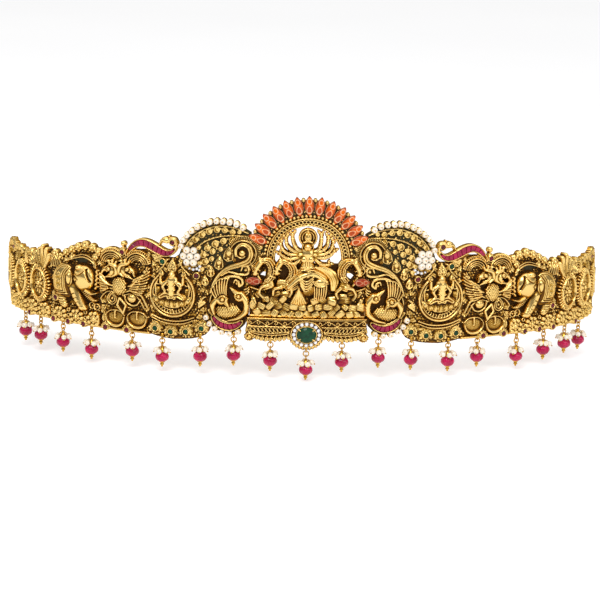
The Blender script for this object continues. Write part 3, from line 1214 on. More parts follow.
def peacocks(R, s, z):
    """Two birds in a round medallion."""
    R.dome(s, z - 1.0, 8.6, 0.6, 1.0)
    R.ring(s, z - 0.6, 9.2, 0.55, 1.3, 150, 395, base=0.3)
    R.ring(s, z - 0.6, 8.2, 0.3, 1.0, 160, 385, base=0.3)
    at = about(s, z)
    # inner bird: a smooth curved body, and a head that looks up
    R.bend(at((-5.8, 4.0), (-8.1, 0.6), (-8.0, -4.0), (-4.4, -7.4), (0.2, -8.8)),
           [1.9, 1.9, 1.7, 1.1, 0.5], 3.0, 0.6)
    R.scales(*at(0.5, -4.4), 6.6, 2.9, 0.56, 1.15, 0, 0.5)
    R.dome(*at(-4.7, 2.9), 3.1, 3.3, 0.86, 50, 0.9)
    R.bend(at((-3.4, 4.6), (-1.8, 6.1), (-0.5, 7.3)), [1.5, 0.9, 0.25], 2.5, 1.0)
    R.trace(at((-3.6, 4.4), (-1.0, 6.8)), 0.2, -0.45)
    R.eye(*at(-4.7, 3.2), 1.15)
    for k in range(3):
        R.bend(at((-7.0, 3.6 + 1.3 * k), (-8.6, 4.4 + 1.25 * k), (-10.0, 6.2 + 1.2 * k)), [0.6, 0.3], 1.3,
               0.4)
    # outer bird: its beak points down, and its crest is a fan of long feathers
    R.bend(at((5.4, 1.4), (7.8, -2.0), (6.9, -6.0)), [1.7, 1.6, 0.8], 2.6, 0.8)
    for x in np.linspace(0, 1, 7):
        foot = np.array([1.3 + 4.9 * x, 3.0 - 1.6 * x])
        tip = np.array([0.7 + 7.9 * x, 11.1 - 5.4 * x + 1.6 * math.sin(pi * x)])
        R.bend(at(foot, (foot + tip) / 2 + [0.35, 0.2], tip), [0.48, 0.66, 0.45], 2.1, 0.9)
    R.bend(at((0.2, 11.4), (5.0, 10.6), (9.0, 5.2)), 0.42, 1.6, 0.9)
    R.dome(*at(3.2, 1.0), 3.5, 3.4, 0.8, -30, 0.9)
    R.bend(at((1.4, -0.4), (0.2, -1.9), (-0.1, -3.1)), [1.4, 0.8, 0.25], 2.6, 1.2)
    R.trace(at((2.2, 0.0), (0.1, -2.4)), 0.2, -0.45)
    R.eye(*at(2.9, 1.4), 1.2)
    R.trace(curve(at((0.4, 2.6), (3.4, 3.6), (6.0, 1.6))), 0.28, -0.6)
    R.leaf(*at(6.4, -7.6), 40, 5.4, 2.0, 1.6, 0.6, rib=0.8)


def wing_border(R):
    """Border: cups behind the pearls and a thin edge."""
    for s, z in BORDER:
        R.disc(s, z, 1.55, 0.7, shape=True)
        R.ring(s, z, 1.25, 0.35, 0.6, base=0.5)
    for a, b in zip(BORDER[:-1], BORDER[1:]):
        R.ball((a[0] + b[0]) / 2 - 0.5, (a[1] + b[1]) / 2 - 1.4, 0.42, base=0.6)
    R.bend([(28.4, 51.8), (33, 53.6), (38, 54.6), (43, 54.6), (48, 53.2), (52.4, 50.8), (56, 47.6),
            (58.8, 43.4), (60, 39)], 0.35, 1.0, 0.3)


def wing_ground(R):
    """Scattered discs on the dark ground."""
    for s, z, r in [(32.6, 52.3, 1.2), (35.8, 52.2, 1.7), (39.6, 52.9, 1.75), (43.4, 52.8, 1.75),
                    (47.2, 51.7, 1.75), (50.7, 49.9, 1.8), (53.8, 47.4, 1.7), (56.8, 45.0, 1.5),
                    (58.9, 41.9, 1.3), (36.0, 48.4, 1.8), (40.2, 47.6, 1.8), (44.2, 45.9, 2.0),
                    (48.0, 43.6, 1.7), (45.4, 42.2, 1.6), (49.9, 40.3, 1.7), (49.0, 37.0, 1.9),
                    (45.8, 38.6, 1.4), (41.4, 43.6, 1.3), (51.6, 36.2, 1.2), (33.4, 50.0, 1.1),
                    (52.2, 43.6, 1.2), (50.6, 33.2, 1.3), (58.4, 36.6, 1.2), (47.2, 34.6, 1.1)]:
        R.disc(s, z, r, 0.9, edge=0.6)
        R.ring(s, z, r * 0.72, 0.24, 0.3, base=0.8)
        R.leaf(s - r * 0.75, z - r * 0.4, 30 + 2 * (s - 30), r * 1.7, r * 1.2, 0.6, 0.8)
    for s, z in [(41.6, 50.4), (45.4, 48.8), (37.8, 50.4), (49.2, 47.1), (47.0, 48.2), (42.4, 49.3),
                 (58.2, 47.4), (60.2, 38.4), (61.2, 37.4), (37.9, 52.6), (41.5, 53.4), (45.4, 52.8),
                 (49.2, 51.4), (52.6, 49.2), (55.7, 46.6), (38.2, 48.6), (42.4, 46.9), (46.4, 44.4),
                 (47.6, 40.4), (43.4, 43.6), (50.6, 42.2), (47.4, 37.2), (34.4, 48.8), (38.6, 45.6),
                 (42.8, 40.6), (47.9, 46.0)]:
        R.ball(s, z, 0.62, base=0.4)
    R.bend([(54.0, 42.2), (50.8, 45.6), (46.8, 48.0), (42.2, 49.6), (37.6, 50.3), (31.0, 50.6)],
           [0.5, 0.45, 0.3], 1.3, 0.5, rope=0.45, pitch=0.9)


def wing_scrolls(R):
    """Big scroll with its comb of teeth, two small scrolls and pointed leaves."""
    R.ring(30.6, 42.2, 7.6, 1.15, 1.3, 30, 262, base=0.5, teeth=58, depth=0.75, shape=True)
    R.ring(30.6, 42.2, 6.2, 0.5, 1.5, 25, 265, base=0.6, shape=True)
    R.dome(30.6, 42.2, 6.0, 0.6, base=0.2)
    big = curve([(33.9, 41.2), (33.8, 44.4), (31.2, 46.6), (27.9, 45.4), (26.8, 41.9), (28.4, 38.6),
                 (32.6, 36.6), (37.4, 34.8), (41.4, 31.8), (44.2, 27.6), (45.9, 22.6)])
    R.stroke(big, [0.75, 1.0, 1.35, 1.5, 1.35, 0.9, 0.5], 2.0, 0.7, line=0.7, shape=True)
    R.ball(31.0, 42.3, 1.75, base=0.9)
    R.stroke(spiral(31.0, 42.3, 1.9, 3.0, 230, 380), 0.5, 1.3, 0.7)
    small = curve([(31.4, 34.0), (30.4, 36.2), (28.2, 36.0), (27.6, 33.8), (29.2, 32.2), (33.0, 32.2),
                   (37.4, 33.0), (40.6, 31.0)])
    R.stroke(small, [0.5, 0.7, 0.8, 0.6, 0.4], 1.6, 0.6, line=0.3)
    R.ball(29.3, 34.3, 0.9, base=0.7)
    third = curve([(34.8, 27.8), (34.2, 29.2), (32.4, 28.4), (32.2, 26.4), (30.6, 27.8), (31.2, 30.0),
                   (34.0, 31.0), (38.2, 30.6), (41.4, 28.4)])
    R.stroke(third, [0.4, 0.7, 0.8, 0.6], 1.6, 0.5, line=0.3)
    R.ball(33.4, 27.6, 0.85, base=0.7)
    ogee(R, 37.8, 38.6, 98, 7.4, 5.0, 1.7)
    ogee(R, 42.2, 34.4, 95, 6.2, 4.4, 1.6)
    ogee(R, 45.9, 30.6, 88, 5.0, 3.6, 1.5)
    ogee(R, 48.4, 26.2, 80, 4.6, 3.4, 1.4)
    R.leaf(34.4, 37.4, 70, 3.6, 1.6, 1.2, 0.4)
    R.leaf(39.8, 35.4, 60, 3.2, 1.4, 1.2, 0.4)


def wing_gaps(R):
    """Sprigs, strands and leaves between the medallions."""
    for s, z, a, size in [(47.4, 21.6, 100, 1.0), (49.6, 22.6, 60, 0.9), (50.4, 18.2, 250, 1.1),
                          (49.4, 14.6, 270, 1.0), (51.4, 11.0, 260, 1.0), (46.8, 13.8, 200, 0.9),
                          (54.0, 26.4, 60, 0.8), (52.2, 25.8, 130, 0.8), (74.2, 27.6, 70, 0.9),
                          (75.0, 22.0, 100, 0.8), (75.2, 12.4, 80, 0.9), (74.8, 33.4, 120, 0.9),
                          (57.6, 33.6, 60, 0.9), (59.8, 31.8, 40, 0.9), (72.8, 31.6, 140, 0.9),
                          (49.0, 8.6, 300, 0.9), (53.8, 8.2, 240, 0.9), (75.0, 8.0, 90, 0.8),
                          (60.6, 35.8, 70, 0.8)]:
        sprig(R, s, z, a, size)
    for k in range(6):
        R.bend([(51.6, 14.6), (51.4 - 0.6 * k, 17.4), (48.4 + 0.81 * k, 20.2 - 0.12 * k * k)],
               [0.26, 0.4, 0.3], 1.1, 0.5)
    R.leaf(74.6, 35.6, 150, 5.2, 3.0, 1.4, 0.5, rib=0.9)
    R.leaf(72.4, 37.2, 20, 3.8, 2.2, 1.3, 0.5, rib=0.8)


def wing_foot(R):
    """Bands below the deity and the cups on the lower edge."""
    R.bend([(54.0, 9.6), (59, 7.8), (64.6, 7.2), (70, 7.8), (75.2, 9.6)], 0.45, 1.3, 0.5)
    R.bend([(54.6, 8.0), (59, 6.3), (64.6, 5.7), (70, 6.3), (74.6, 8.0)], 0.35, 1.1, 0.5)
    R.beads(curve([(55.4, 8.6), (60, 7.0), (64.6, 6.5), (70, 7.0), (73.6, 8.4)]), 0.42, 1.35, 0.6)
    for s in np.arange(53.4, 75, 2.9):
        R.fan(s, 4.2 + 0.004 * (s - 64) ** 2, 0.3, 50, 130, 3, 2.2, 1.2, 1.2, 0.4)
    for s, z in EMERALDS[:4]:
        R.dome(s - 0.5, z + 0.9, 3.4, 1.3, 0.86, base=0.2, shape=True)
        R.fan(s, z, 1.6, -20, 200, 8, 2.2, 1.5, 1.5, 0.5, shape=True)
        R.beads(arc(s, z, 2.6, 180, 360, 14), 0.5, 1.35, 0.4, shape=True)


def crescent_channel(R):
    """Crescent channel and the pearls' cups below it."""
    for s, z in CRESCENT_PEARLS:
        R.disc(s, z, 1.5, 0.6, shape=True)
        R.ring(s, z, 1.2, 0.35, 0.6, base=0.4)
    wall = 0.55
    path = arc(*CRESCENT_C, CRESCENT_R, CRESCENT_A0, CRESCENT_A1, 13)
    R.stroke(curve(path, 4), wall + crescent_half(np.linspace(0, 1, 13)), 1.75)
    w, u, v = R.local(*CRESCENT_C, 11)
    x = (np.degrees(np.arctan2(v, u)) % 360 - CRESCENT_A0) / (CRESCENT_A1 - CRESCENT_A0)
    inside = (x > 0) & (x < 1)
    half = crescent_half(x)
    d = np.abs(np.hypot(u, v) - CRESCENT_R)
    R.H[w] = np.where(inside & (d < half), 0.35, np.where(inside & (d < half + wall), 1.8, R.H[w]))
    R.F[w] = np.where(inside, np.maximum(R.F[w], half + wall - d), R.F[w])


def wing():
    R = Relief(22.6, 76.4, -3.6, 59.0, 0.24)
    R.outline(WING)
    R.F = np.minimum(R.F, WING_S - R.S)
    R.G[:] = np.where((R.Z > 33) & (R.S < 62) & (R.circle(56, 33, 7.5) < 0), 1.0, 0.15)
    wing_border(R)
    wing_ground(R)
    # pearl flower's cups
    for place in [FLOWER] + FLOWER_PEARLS:
        R.disc(*place, 1.6, 0.35)
    wing_scrolls(R)
    peacocks(R, 36.8, 18.6)
    deity(R, 64.7, 20.4)
    wing_gaps(R)
    wing_foot(R)
    crescent_channel(R)
    R.seat(*RUBIES[0])
    for p in EMERALDS:
        R.seat(*p, h=1.7)
    R.fill(1.5, 0.72, 0.5, lambda s, z: not 6 <= math.dist((s, z), CRESCENT_C) <= 10.2)
    R.fill(2.0, 0.6, 2.0, lambda s, z: z > 33, (0.3, 0.45), 0.2)
    R.finish()
    R.make_pair("wing_relief", "wing_panel")


# Ruby crest
CREST = [(88.5, 37.5), (79, 54), (69.5, 31.5), (63, 43.5)]


def crest_path(n=46):
    t = np.linspace(0, 1, n)[:, None]
    p = np.asarray(CREST, float)
    c = (1 - t) ** 3 * p[0] + 3 * (1 - t) ** 2 * t * p[1] + 3 * (1 - t) * t * t * p[2] + t ** 3 * p[3]
    x = 0.05 + 0.9 * t[:, 0]
    return c, 0.7 + 1.6 * np.sin(pi * np.minimum(1, x * 1.05)) ** 0.8


def crest():
    R = Relief(60.2, 90.8, 35.6, 49.6, 0.16)
    c, half = crest_path()
    R.stroke(c, half, 0.3, 0.2, shape=True)
    # rims on both sides of the channel
    d, wid = 99.0, 1.0
    for k, _, t, _, away in legs(c, R.S, R.Z):
        wid = np.where(away < d, half[k] + (half[k + 1] - half[k]) * t, wid)
        d = np.minimum(away, d)
    x = np.abs(d - wid + 0.32) / 0.38
    R.H = np.where(d < wid - 0.6, 0.35, R.H)
    R.H = np.where(x < 1, np.maximum(R.H, 1.1 + 0.9 * np.sqrt(np.clip(1 - x ** 2, 0, 1))), R.H)
    # curled head: stone in a ring, beak and a small ball
    R.disc(65.0, 45.2, 2.1, 0.8, shape=True)
    R.bend([(63.4, 42.6), (62.9, 44.8), (64.0, 46.8), (66.2, 46.9), (67.2, 45.4)], [0.6, 0.8, 0.9, 0.6],
           1.4, 0.7, shape=True)
    R.seat(65.1, 45.2, 1.1, 1.7)
    R.dome(68.4, 46.0, 2.3, 1.9, 0.72, 8, 0.4, shape=True)
    R.bend([(68.6, 46.8), (70.6, 45.6), (71.6, 43.6)], [1.0, 0.7, 0.4], 1.5, 0.4, shape=True)
    R.ball(66.8, 47.9, 0.6, base=0.6, shape=True)
    R.finish(0.4)
    R.C = np.clip(R.C * 0.6 + 0.42, 0, 1)
    R.make_pair("ruby_crest_rim", "ruby_crest_frame")


# Double birds
def feather_arch(R, s, z, r, a0, a1, m):
    """Rings with an outer comb, and a curl at one end."""
    for k, (d, w) in enumerate(((0, 0.5), (-1.2, 0.35), (-2.2, 0.35), (-3.1, 0.3))):
        R.ring(s, z, r + d, w, 1.5 - 0.12 * k, a0, a1, base=0.5)
    R.ring(s, z, r + 1.1, 0.8, 1.4, a0, a1, base=0.4, teeth=int(r * 7), depth=0.7, shape=True)
    R.stroke(spiral(s - m * (r + 0.2), z - 1.2, 0.4, 1.6, 0, 400 * m), 0.42, 1.3, 0.5)


def creature_head(R, s, z, m):
    """Stylised head with a bulging eye, a curled cheek and an open beak; m is the way that it looks."""
    at = about(s, z, m)
    R.dome(s, z, 3.7, 3.2, 0.9, 0, 0.7)
    R.bend(at((0.6, 3.4), (-2.4, 2.4), (-3.0, -0.6), (-0.8, -2.6)), [1.0, 1.5, 1.4, 0.6], 2.6, 1.3)
    R.bend(at((1.6, 1.2), (4.0, 0.2), (5.2, -2.2)), [1.7, 1.2, 0.3], 2.6, 1.0)
    R.bend(at((0.4, -2.6), (2.4, -3.0), (3.8, -3.6)), [1.0, 0.8, 0.3], 2.0, 0.9)
    R.trace(curve(at((0.6, -0.6), (2.4, -1.4), (3.6, -2.4))), 0.6, -1.6)
    R.eye(*at(1.2, 1.0), 1.25)
    for a in (62, 92, 122):
        c, d = unit(a)
        x = s - m * 0.4
        R.bend([(x + 2.4 * c, z + 1.2 + 2.4 * d), (x + 4.2 * c, z + 1.2 + 4.0 * d),
                (x + 4.9 * c + 0.9 * d, z + 1.0 + 4.0 * d)], [0.9, 0.9, 0.5], 2.2, 0.9)


def wing_feathers(R, s, z, m):
    """An open wing: long feathers in two rows, ringed dots at their roots and a smooth bar above."""
    at = about(s, z, m)
    for k in range(9):
        x = k / 8
        foot = np.array([1.6 + 1.8 * x, -3.2 + 6.4 * x])
        tip = np.array([6.6 + 4.9 * x, -4.6 + 12.2 * x - 1.2 * math.sin(pi * x)])
        R.bend(at(foot, (foot + tip) / 2 + [0.2, -0.4], tip), [0.55, 0.75, 0.5], 1.9 + 0.2 * (k % 2), 0.6)
        R.trace(at((foot + tip) / 2, tip), 0.15, -0.35)
    for k in range(7):
        x = k / 6
        foot = np.array([0.8 + 2.2 * x, -2.6 + 5.4 * x])
        tip = np.array([4.4 + 3.2 * x, -3.2 + 8.4 * x])
        R.stroke(at(foot, tip), [0.55, 0.75], 2.3, 0.9)
    for k in range(5):
        c = at(5.0 + 0.85 * k, -2.2 + 2.3 * k)
        R.disc(*c, 0.85, 2.7)
        R.trace(arc(*c, 0.45, 0, 360, 12), 0.2, -0.5)
    R.bend(at((0.6, -0.6), (2.6, 0.4), (5.0, 2.8)), [0.5, 1.05, 0.3], 2.6, 1.1)


def cup(R, s, z, r):
    """Wide shell with pointed ends, a thick lower rim and a short stem."""
    R.disc(s, z, r, 0.5, 0.92, shape=True)
    R.scales(s, z - 0.2, r * 0.94, 1.3, 0.66, 0.72, 0, 0.4)
    R.stroke(arc(s, z + 0.8, r - 0.5, 178, 362, 30, r * 0.84), [0.35, 0.8, 1.05, 0.8, 0.35], 2.3, 0.5,
             shape=True)
    R.bend([(s - r + 0.4, z + 1.6), (s - r * 0.55, z + 3.4), (s, z + 3.9), (s + r * 0.55, z + 3.4),
            (s + r - 0.4, z + 1.6)], 0.4, 1.5, 0.6, shape=True)
    R.stroke([(s, z + 3.4), (s, z + 0.4)], [0.55, 0.32], 1.6, 1.0)
    R.ball(s, z + 0.2, 0.62, base=1.7)


def drop_cup(R, s, z, l, turn, w):
    """A drop with two raised lines round it."""
    R.leaf(s, z, turn, l, w, 1.1, 0.5, vein=0, blunt=0.75)
    c, d = unit(turn)
    for k in (1.0, 0.62):
        t = np.linspace(0, 1, 16)
        half = 0.5 * w * k * np.sin(pi * t ** 0.75)
        u = l * (0.5 + (t - 0.5) * (0.98 if k == 1 else 0.66))
        for m in (-1, 1):
            R.stroke(np.stack([s + u * c - m * half * d, z + u * d + m * half * c], -1), 0.32, 1.0, 1.0)
    R.ball(s + 0.45 * l * c, z + 0.45 * l * d, 0.7, base=1.1)


def strip_flowers(R, places):
    """Round clusters of petals and granules on the lower strip."""
    z = STRIP_Z
    for s in places:
        R.disc(s, z, 4.2, 1.5, edge=1.2)
        for place in evenly(8, (s, z), 3.05, 2.95, first=0.2):
            R.dome(*place, 1.3, 1.3, base=1.2)
            R.ring(*place, 0.62, 0.24, 0.5, base=2.1)
        for place in evenly(6, (s, z), 1.4, 1.35, skip=0.5):
            R.ball(*place, 0.8, base=1.9)
        R.ball(s, z, 0.95, base=2.3)
    for a, b in zip(places[:-1], places[1:]):
        for dz in (-2.7, 0.0, 2.7):
            R.ring((a + b) / 2, z + dz, 0.8, 0.32, 1.3, base=0.6)


def lip(R, s0, s1):
    """Edge below the strip, and its row of granules."""
    R.stroke([(s0 + 0.4, 0.0), (s1 - 0.4, 0.0)], 0.85, 1.5, 0.2)
    R.beads([(s0 + 0.8, 7.7), (s1 - 0.8, 7.7)], 0.5, 1.3, 0.5)


def close_panel(R, kind, low=STRIP_TOP, flatness=1.0):
    """Cuts a panel off at its joints, fills its gaps above the height low and makes it on both sides."""
    s0, s1 = PLATES[kind]
    R.F = np.minimum(R.F, np.minimum(R.S - s0, s1 - R.S))
    R.fill(1.6, 0.66, 0.9, lambda s, z: z > low)
    R.H *= flatness
    R.finish()
    R.make_pair(f"{kind}_relief", f"{kind}_panel")


def ruby_seats(R, places):
    """A dome, small leaves and a collar for each stone."""
    for p in places:
        o = stone_out(p)
        R.dome(p[0] + 0.2, p[1] + 0.3, 2.1, 1.4, base=0.2 + o * 0.5, shape=True)
        R.fan(*p, 1.5, 20, 160, 5, 1.5, 1.1, 1.3, 0.6 + o * 0.5)
        R.seat(*p, h=1.6 + o)


def bird_bands(R):
    """Crossing bands below the birds, and a curl round a coin."""
    for m, x in ((1, 90.4), (-1, 92.6)):
        R.bend([(x, 18.4), (x - m * 5.4, 20.0), (x - m * 10.0, 17.6), (x - m * 13.0, 12.6)], 0.55, 1.5,
               0.5, line=0.25)
        R.bend([(x, 17.0), (x - m * 5.0, 18.4), (x - m * 8.6, 16.2), (x - m * 11.4, 11.8)], 0.4, 1.3, 0.5)
    R.bend([(89.4, 17.4), (88.0, 14.2), (85.4, 12.8), (82.6, 13.4), (80.8, 16.0)], 0.5, 1.8, 0.6, line=0.3)
    R.dome(85.4, 16.3, 2.5, 2.6, 0.95, 0, 0.6)
    R.loop(85.4, 16.3, 1.6, 0.16, -0.3)
    R.trace([(85.4, 14.8), (85.4, 17.8)], 0.16, -0.3)


def birds():
    s0, s1 = PLATES["bird"]
    R = Relief(75.8, 103.4, -3.0, 44.6, 0.21)
    R.outline([(s0, 39.8), (79, 40.6), (83, 40.2), (86.2, 38.2), (88.0, 36.6), (91, 37.6), (93.6, 39.2),
               (97, 39.8), (100.4, 38.2), (s1, 36.4), (s1, FOOT_Z), (s0, FOOT_Z)])
    R.G[:] = 0.12
    feather_arch(R, 83.0, 32.2, 6.2, 18, 168, 1)
    feather_arch(R, 96.8, 31.6, 6.6, 10, 150, -1)
    wing_feathers(R, 87.2, 22.8, -1)
    wing_feathers(R, 97.0, 22.6, 1)
    R.scales(92.1, 21.6, 4.1, 3.0, 1.1, 1.1, 0, 0.7)
    R.bend([(99.0, 23.4), (97.2, 22.0), (95.2, 21.6)], [0.4, 0.75, 0.5], 2.4, 1.0)
    creature_head(R, 88.6, 29.4, -1)
    creature_head(R, 96.2, 28.6, 1)
    R.fan(92.2, 33.0, 0.4, 50, 130, 4, 3.2, 1.4, 1.6, 0.8, rib=0.7)
    bird_bands(R)
    # lozenge with a thick edge
    lozenge = [(91.8, 15.8), (88.3, 12.6), (89.8, 8.4), (93.0, 12.2), (91.8, 15.8)]
    R.stroke(lozenge, 0.62, 1.9, 0.9, line=0.3)
    R.dome(90.8, 12.2, 1.6, 0.6, 1.6, 0, 0.3)
    drop_cup(R, 96.2, 12.0, 6.6, 90, 5.2)
    sprigs(R, 0.9, [(80.0, 13.2, 110), (78.0, 17.4, 95), (101.2, 16.6, 70), (101.8, 12.2, 90),
                    (99.6, 19.0, 60), (78.2, 21.8, 120), (82.0, 19.6, 100), (88.0, 20.0, 90),
                    (94.4, 19.2, 80), (87.6, 11.4, 250), (93.4, 10.8, 290), (77.8, 10.6, 80),
                    (101.6, 22.4, 60), (77.6, 36.6, 60), (101.4, 29.6, 80), (77.6, 26.8, 160)])
    R.granules(102.0, 9.0, 1.6, 0.5, 0.6, 1.6)
    lip(R, s0, s1)
    cup(R, 82.5, 6.0, 5.5)
    cup(R, 94.2, 5.6, 5.4)
    R.leaf(88.3, 2.6, 90, 5.0, 2.6, 1.3, 0.4, rib=0.8)
    R.leaf(100.8, 2.4, 90, 5.4, 2.6, 1.3, 0.4, rib=0.8)
    ruby_seats(R, RUBIES[1:4])
    # ball on its stalk
    R.stroke([(90.6, 39.0), (90.8, 41.6)], [0.9, 0.6], 1.2, 0.2, shape=True)
    R.ball(90.8, 42.2, 1.35, base=0.4, shape=True)
    close_panel(R, "bird", FOOT_Z)


# Elephants
def elephant_crest(R):
    """Crest of clustered granules and rings."""
    for s, z, r in [(104.4, 36.6, 2.0), (108.0, 38.2, 2.2), (112.2, 38.8, 2.4), (116.2, 37.6, 2.2),
                    (120.0, 35.8, 2.1), (123.6, 33.9, 2.0), (106.2, 34.0, 1.6), (119.6, 32.4, 1.6),
                    (123.0, 30.6, 1.6), (127.0, 31.2, 2.0), (130.6, 32.6, 2.2)]:
        R.dome(s, z, r, 1.4, base=0.3, shape=True)
        for place in evenly(6, (s, z), r * 0.72, first=0.3):
            R.ball(*place, 0.68, base=1.0, shape=True)
        R.ball(s, z, 0.8, base=1.6)
    for k in range(5):
        R.bend([(126.0 + k * 1.5, 26.6), (126.8 + k * 1.5, 29.4), (128.8 + k * 1.3, 31.6)], [0.7, 0.5],
               1.6, 0.5)


def elephant_back(R):
    """Back, rear leg and the cloth over them."""
    R.dome(123.9, 20.2, 7.1, 3.3, 1.27, 0, 0.6)
    R.bend([(125.6, 13.6), (125.2, 10.2), (123.9, 8.6)], [3.2, 2.7, 2.1], 2.4, 0.7)
    for k in range(4):
        R.trace(curve([(121.8, 12.0 - 1.15 * k), (124.8, 12.4 - 1.2 * k), (128.0, 12.1 - 1.1 * k)]), 0.22,
                -0.4)
    edge = curve([(121.0, 14.0), (121.9, 19.0), (121.6, 24.0), (119.0, 28.2), (122.4, 29.4), (126.6, 28.0),
                  (130.0, 23.6), (131.0, 18.6), (130.2, 13.4)], 5)
    cloth = R.polygon(edge)
    R.H += 0.55 * np.clip(cloth / 0.3, 0, 1)
    for deep in (0.75, 1.75):
        R.H -= 0.5 * np.exp(-((cloth - deep) / 0.2) ** 2) * (cloth > 0)
    for z in (17.6, 20.6, 23.6):
        R.trace(arc(125.8, z, 0.85, 0, 360, 16), 0.22, 0.45)
        R.trace([(125.8, z), (125.81, z)], 0.4, 0.4)
        for m in (-1, 1):
            R.trace([(125.8 + m * 1.7, z + 1.2), (125.8 + m * 1.5, z - 1.2)], 0.18, 0.3)
    R.trace([(121.2, 14.2), (130.0, 13.6)], 0.5, 0.7)


def elephant_head(R):
    """Ear, head and band."""
    R.dome(119.9, 22.0, 2.1, 1.9, 2.2, -4, 2.7)
    ear = R.circle(119.9, 22.0, 2.1, 2.2)
    R.H -= 0.55 * np.exp(-((ear - 0.75) / 0.2) ** 2) * (ear > 0)
    R.dome(111.9, 23.0, 6.0, 4.9, 1.12, 0, 0.8)
    R.dome(113.9, 28.2, 2.5, 3.9, 0.72, 0, 1.3)
    band = curve([(117.0, 27.0), (115.4, 25.8), (113.7, 25.5), (111.9, 26.2), (110.5, 27.8)])
    R.trace(band, 0.3, 0.5)
    R.trace(band - [0, 0.85], 0.26, -0.45)
    R.trace(curve([(109.6, 27.6), (108.7, 25.0), (107.4, 22.0)]), 0.6, -1.5)
    R.eye(115.4, 22.2, 0.95)
    R.trace(curve([(117.4, 22.6), (115.5, 23.8), (113.4, 22.6)]), 0.26, -0.6)
    R.trace(curve([(117.2, 20.8), (115.4, 20.4), (113.8, 18.6)]), 0.2, -0.35)


def elephant_trunk(R):
    """Trunk below the head, the tusk over it, and curls in front of the head."""
    R.bend([(112.2, 17.4), (109.6, 14.6), (107.0, 13.0), (105.0, 12.8)], [1.7, 1.4, 1.0, 0.6], 2.4, 1.0,
           rope=0.4, pitch=0.9)
    R.bend([(109.8, 17.4), (106.8, 16.2), (103.6, 16.8)], [1.1, 0.85, 0.25], 2.6, 2.0)
    for k in range(5):
        R.bend([(105.6 - 0.2 * k, 18.6 + 2.0 * k), (104.6, 19.6 + 2.0 * k), (103.2, 19.8 + 2.0 * k)],
               [0.8, 0.7, 0.4], 1.8, 0.5)


def elephants():
    s0, s1 = PLATES["elephant"]
    R = Relief(102.8, 133.4, -3.0, 42.2, 0.21)
    R.outline([(s0, 36.6), (105.6, 38.8), (109, 39.4), (113, 39.6), (117, 38.4), (121, 36.2), (125, 33.8),
               (128.6, 33.4), (s1, 34.4), (s1, FOOT_Z), (s0, FOOT_Z)])
    R.G[:] = 0.2
    elephant_crest(R)
    # arch over the back
    for r, w, h in ((0.0, 0.5, 1.7), (1.2, 0.35, 1.4)):
        R.bend([(105.4, 28.6 + r), (107.6, 31.6 + r), (112.4, 33.2 + r), (118, 32.0 + r * 0.8),
                (124.4, 29.6 + r * 0.5)], w, h, 0.5)
    R.ball(106.6, 29.2, 0.9, base=0.6)
    R.G = np.where(R.circle(114.6, 31.2, 4.6, 0.22) > 0, 1.0, R.G)
    elephant_back(R)
    # front leg
    R.bend([(117.6, 17.4), (115.4, 12.8), (112.6, 8.8)], [3.3, 2.8, 2.2], 3.4, 0.8)
    for k in range(4):
        x, y = 116.9 - 1.25 * k, 15.0 - 1.9 * k
        R.trace([(x - 0.6, y + 0.5), (x + 2.4, y - 1.1)], 0.2, -0.4)
    for x in (110.9, 112.6, 114.2):
        R.dome(x, 8.1, 0.95, 1.4, 0.9, 0, 1.7)
    elephant_head(R)
    elephant_trunk(R)
    for x, y in ((107.4, 10.0), (104.8, 9.6)):
        R.ring(x, y, 1.5, 0.3, 1.3, base=0.6)
        R.ball(x, y, 0.6, base=0.8)
    # sprigs in the gaps
    sprigs(R, 0.95, [(119.4, 9.0, 90), (132.0, 12.0, 95), (131.9, 20.0, 90), (104.2, 30.6, 90)])
    strip_flowers(R, [106.2, 116.4, 126.6])
    for dz in (-2.9, -1.0, 1.0, 2.9):
        R.ring(131.8, STRIP_Z + dz, 0.62, 0.3, 0.9, base=0.7)
    lip(R, s0, s1)
    ruby_seats(R, RUBIES[4:7])
    R.seat(*RUBIES[8], h=3.4)
    close_panel(R, "elephant")


# Wheels
def wheel(R, s, z, a, b):
    """Drum wheel, a by b mm to its edge: a ribbed side, a smooth front rim, petals and a hub of balls."""
    R.dome(s, z, a, 1.6, b / a, base=0.2)
    for ends in zip(evenly(34, (s, z), a * 0.76, b * 0.78), evenly(34, (s, z), a * 0.98, b * 0.98)):
        R.stroke(ends, [0.42, 0.62], 2.4, 0.6)
    R.stroke(arc(s, z, a * 0.72, 0, 360, 40, b * 0.76), 0.5, 2.2, 1.6)
    R.stroke(arc(s, z, a * 0.58, 0, 360, 40, b * 0.64), 0.26, 1.4, 1.0)
    for ends in zip(evenly(14, (s, z), 1.8, 2.0, skip=0.5), evenly(14, (s, z), a * 0.5, b * 0.56, skip=0.5)):
        R.stroke(ends, [0.35, 0.6], 1.5, 0.9)
    for place in evenly(6, (s, z), 1.75, 1.85):
        R.dome(*place, 1.05, 1.5, base=1.6)
    R.dome(s, z, 1.3, 1.9, base=2.0)


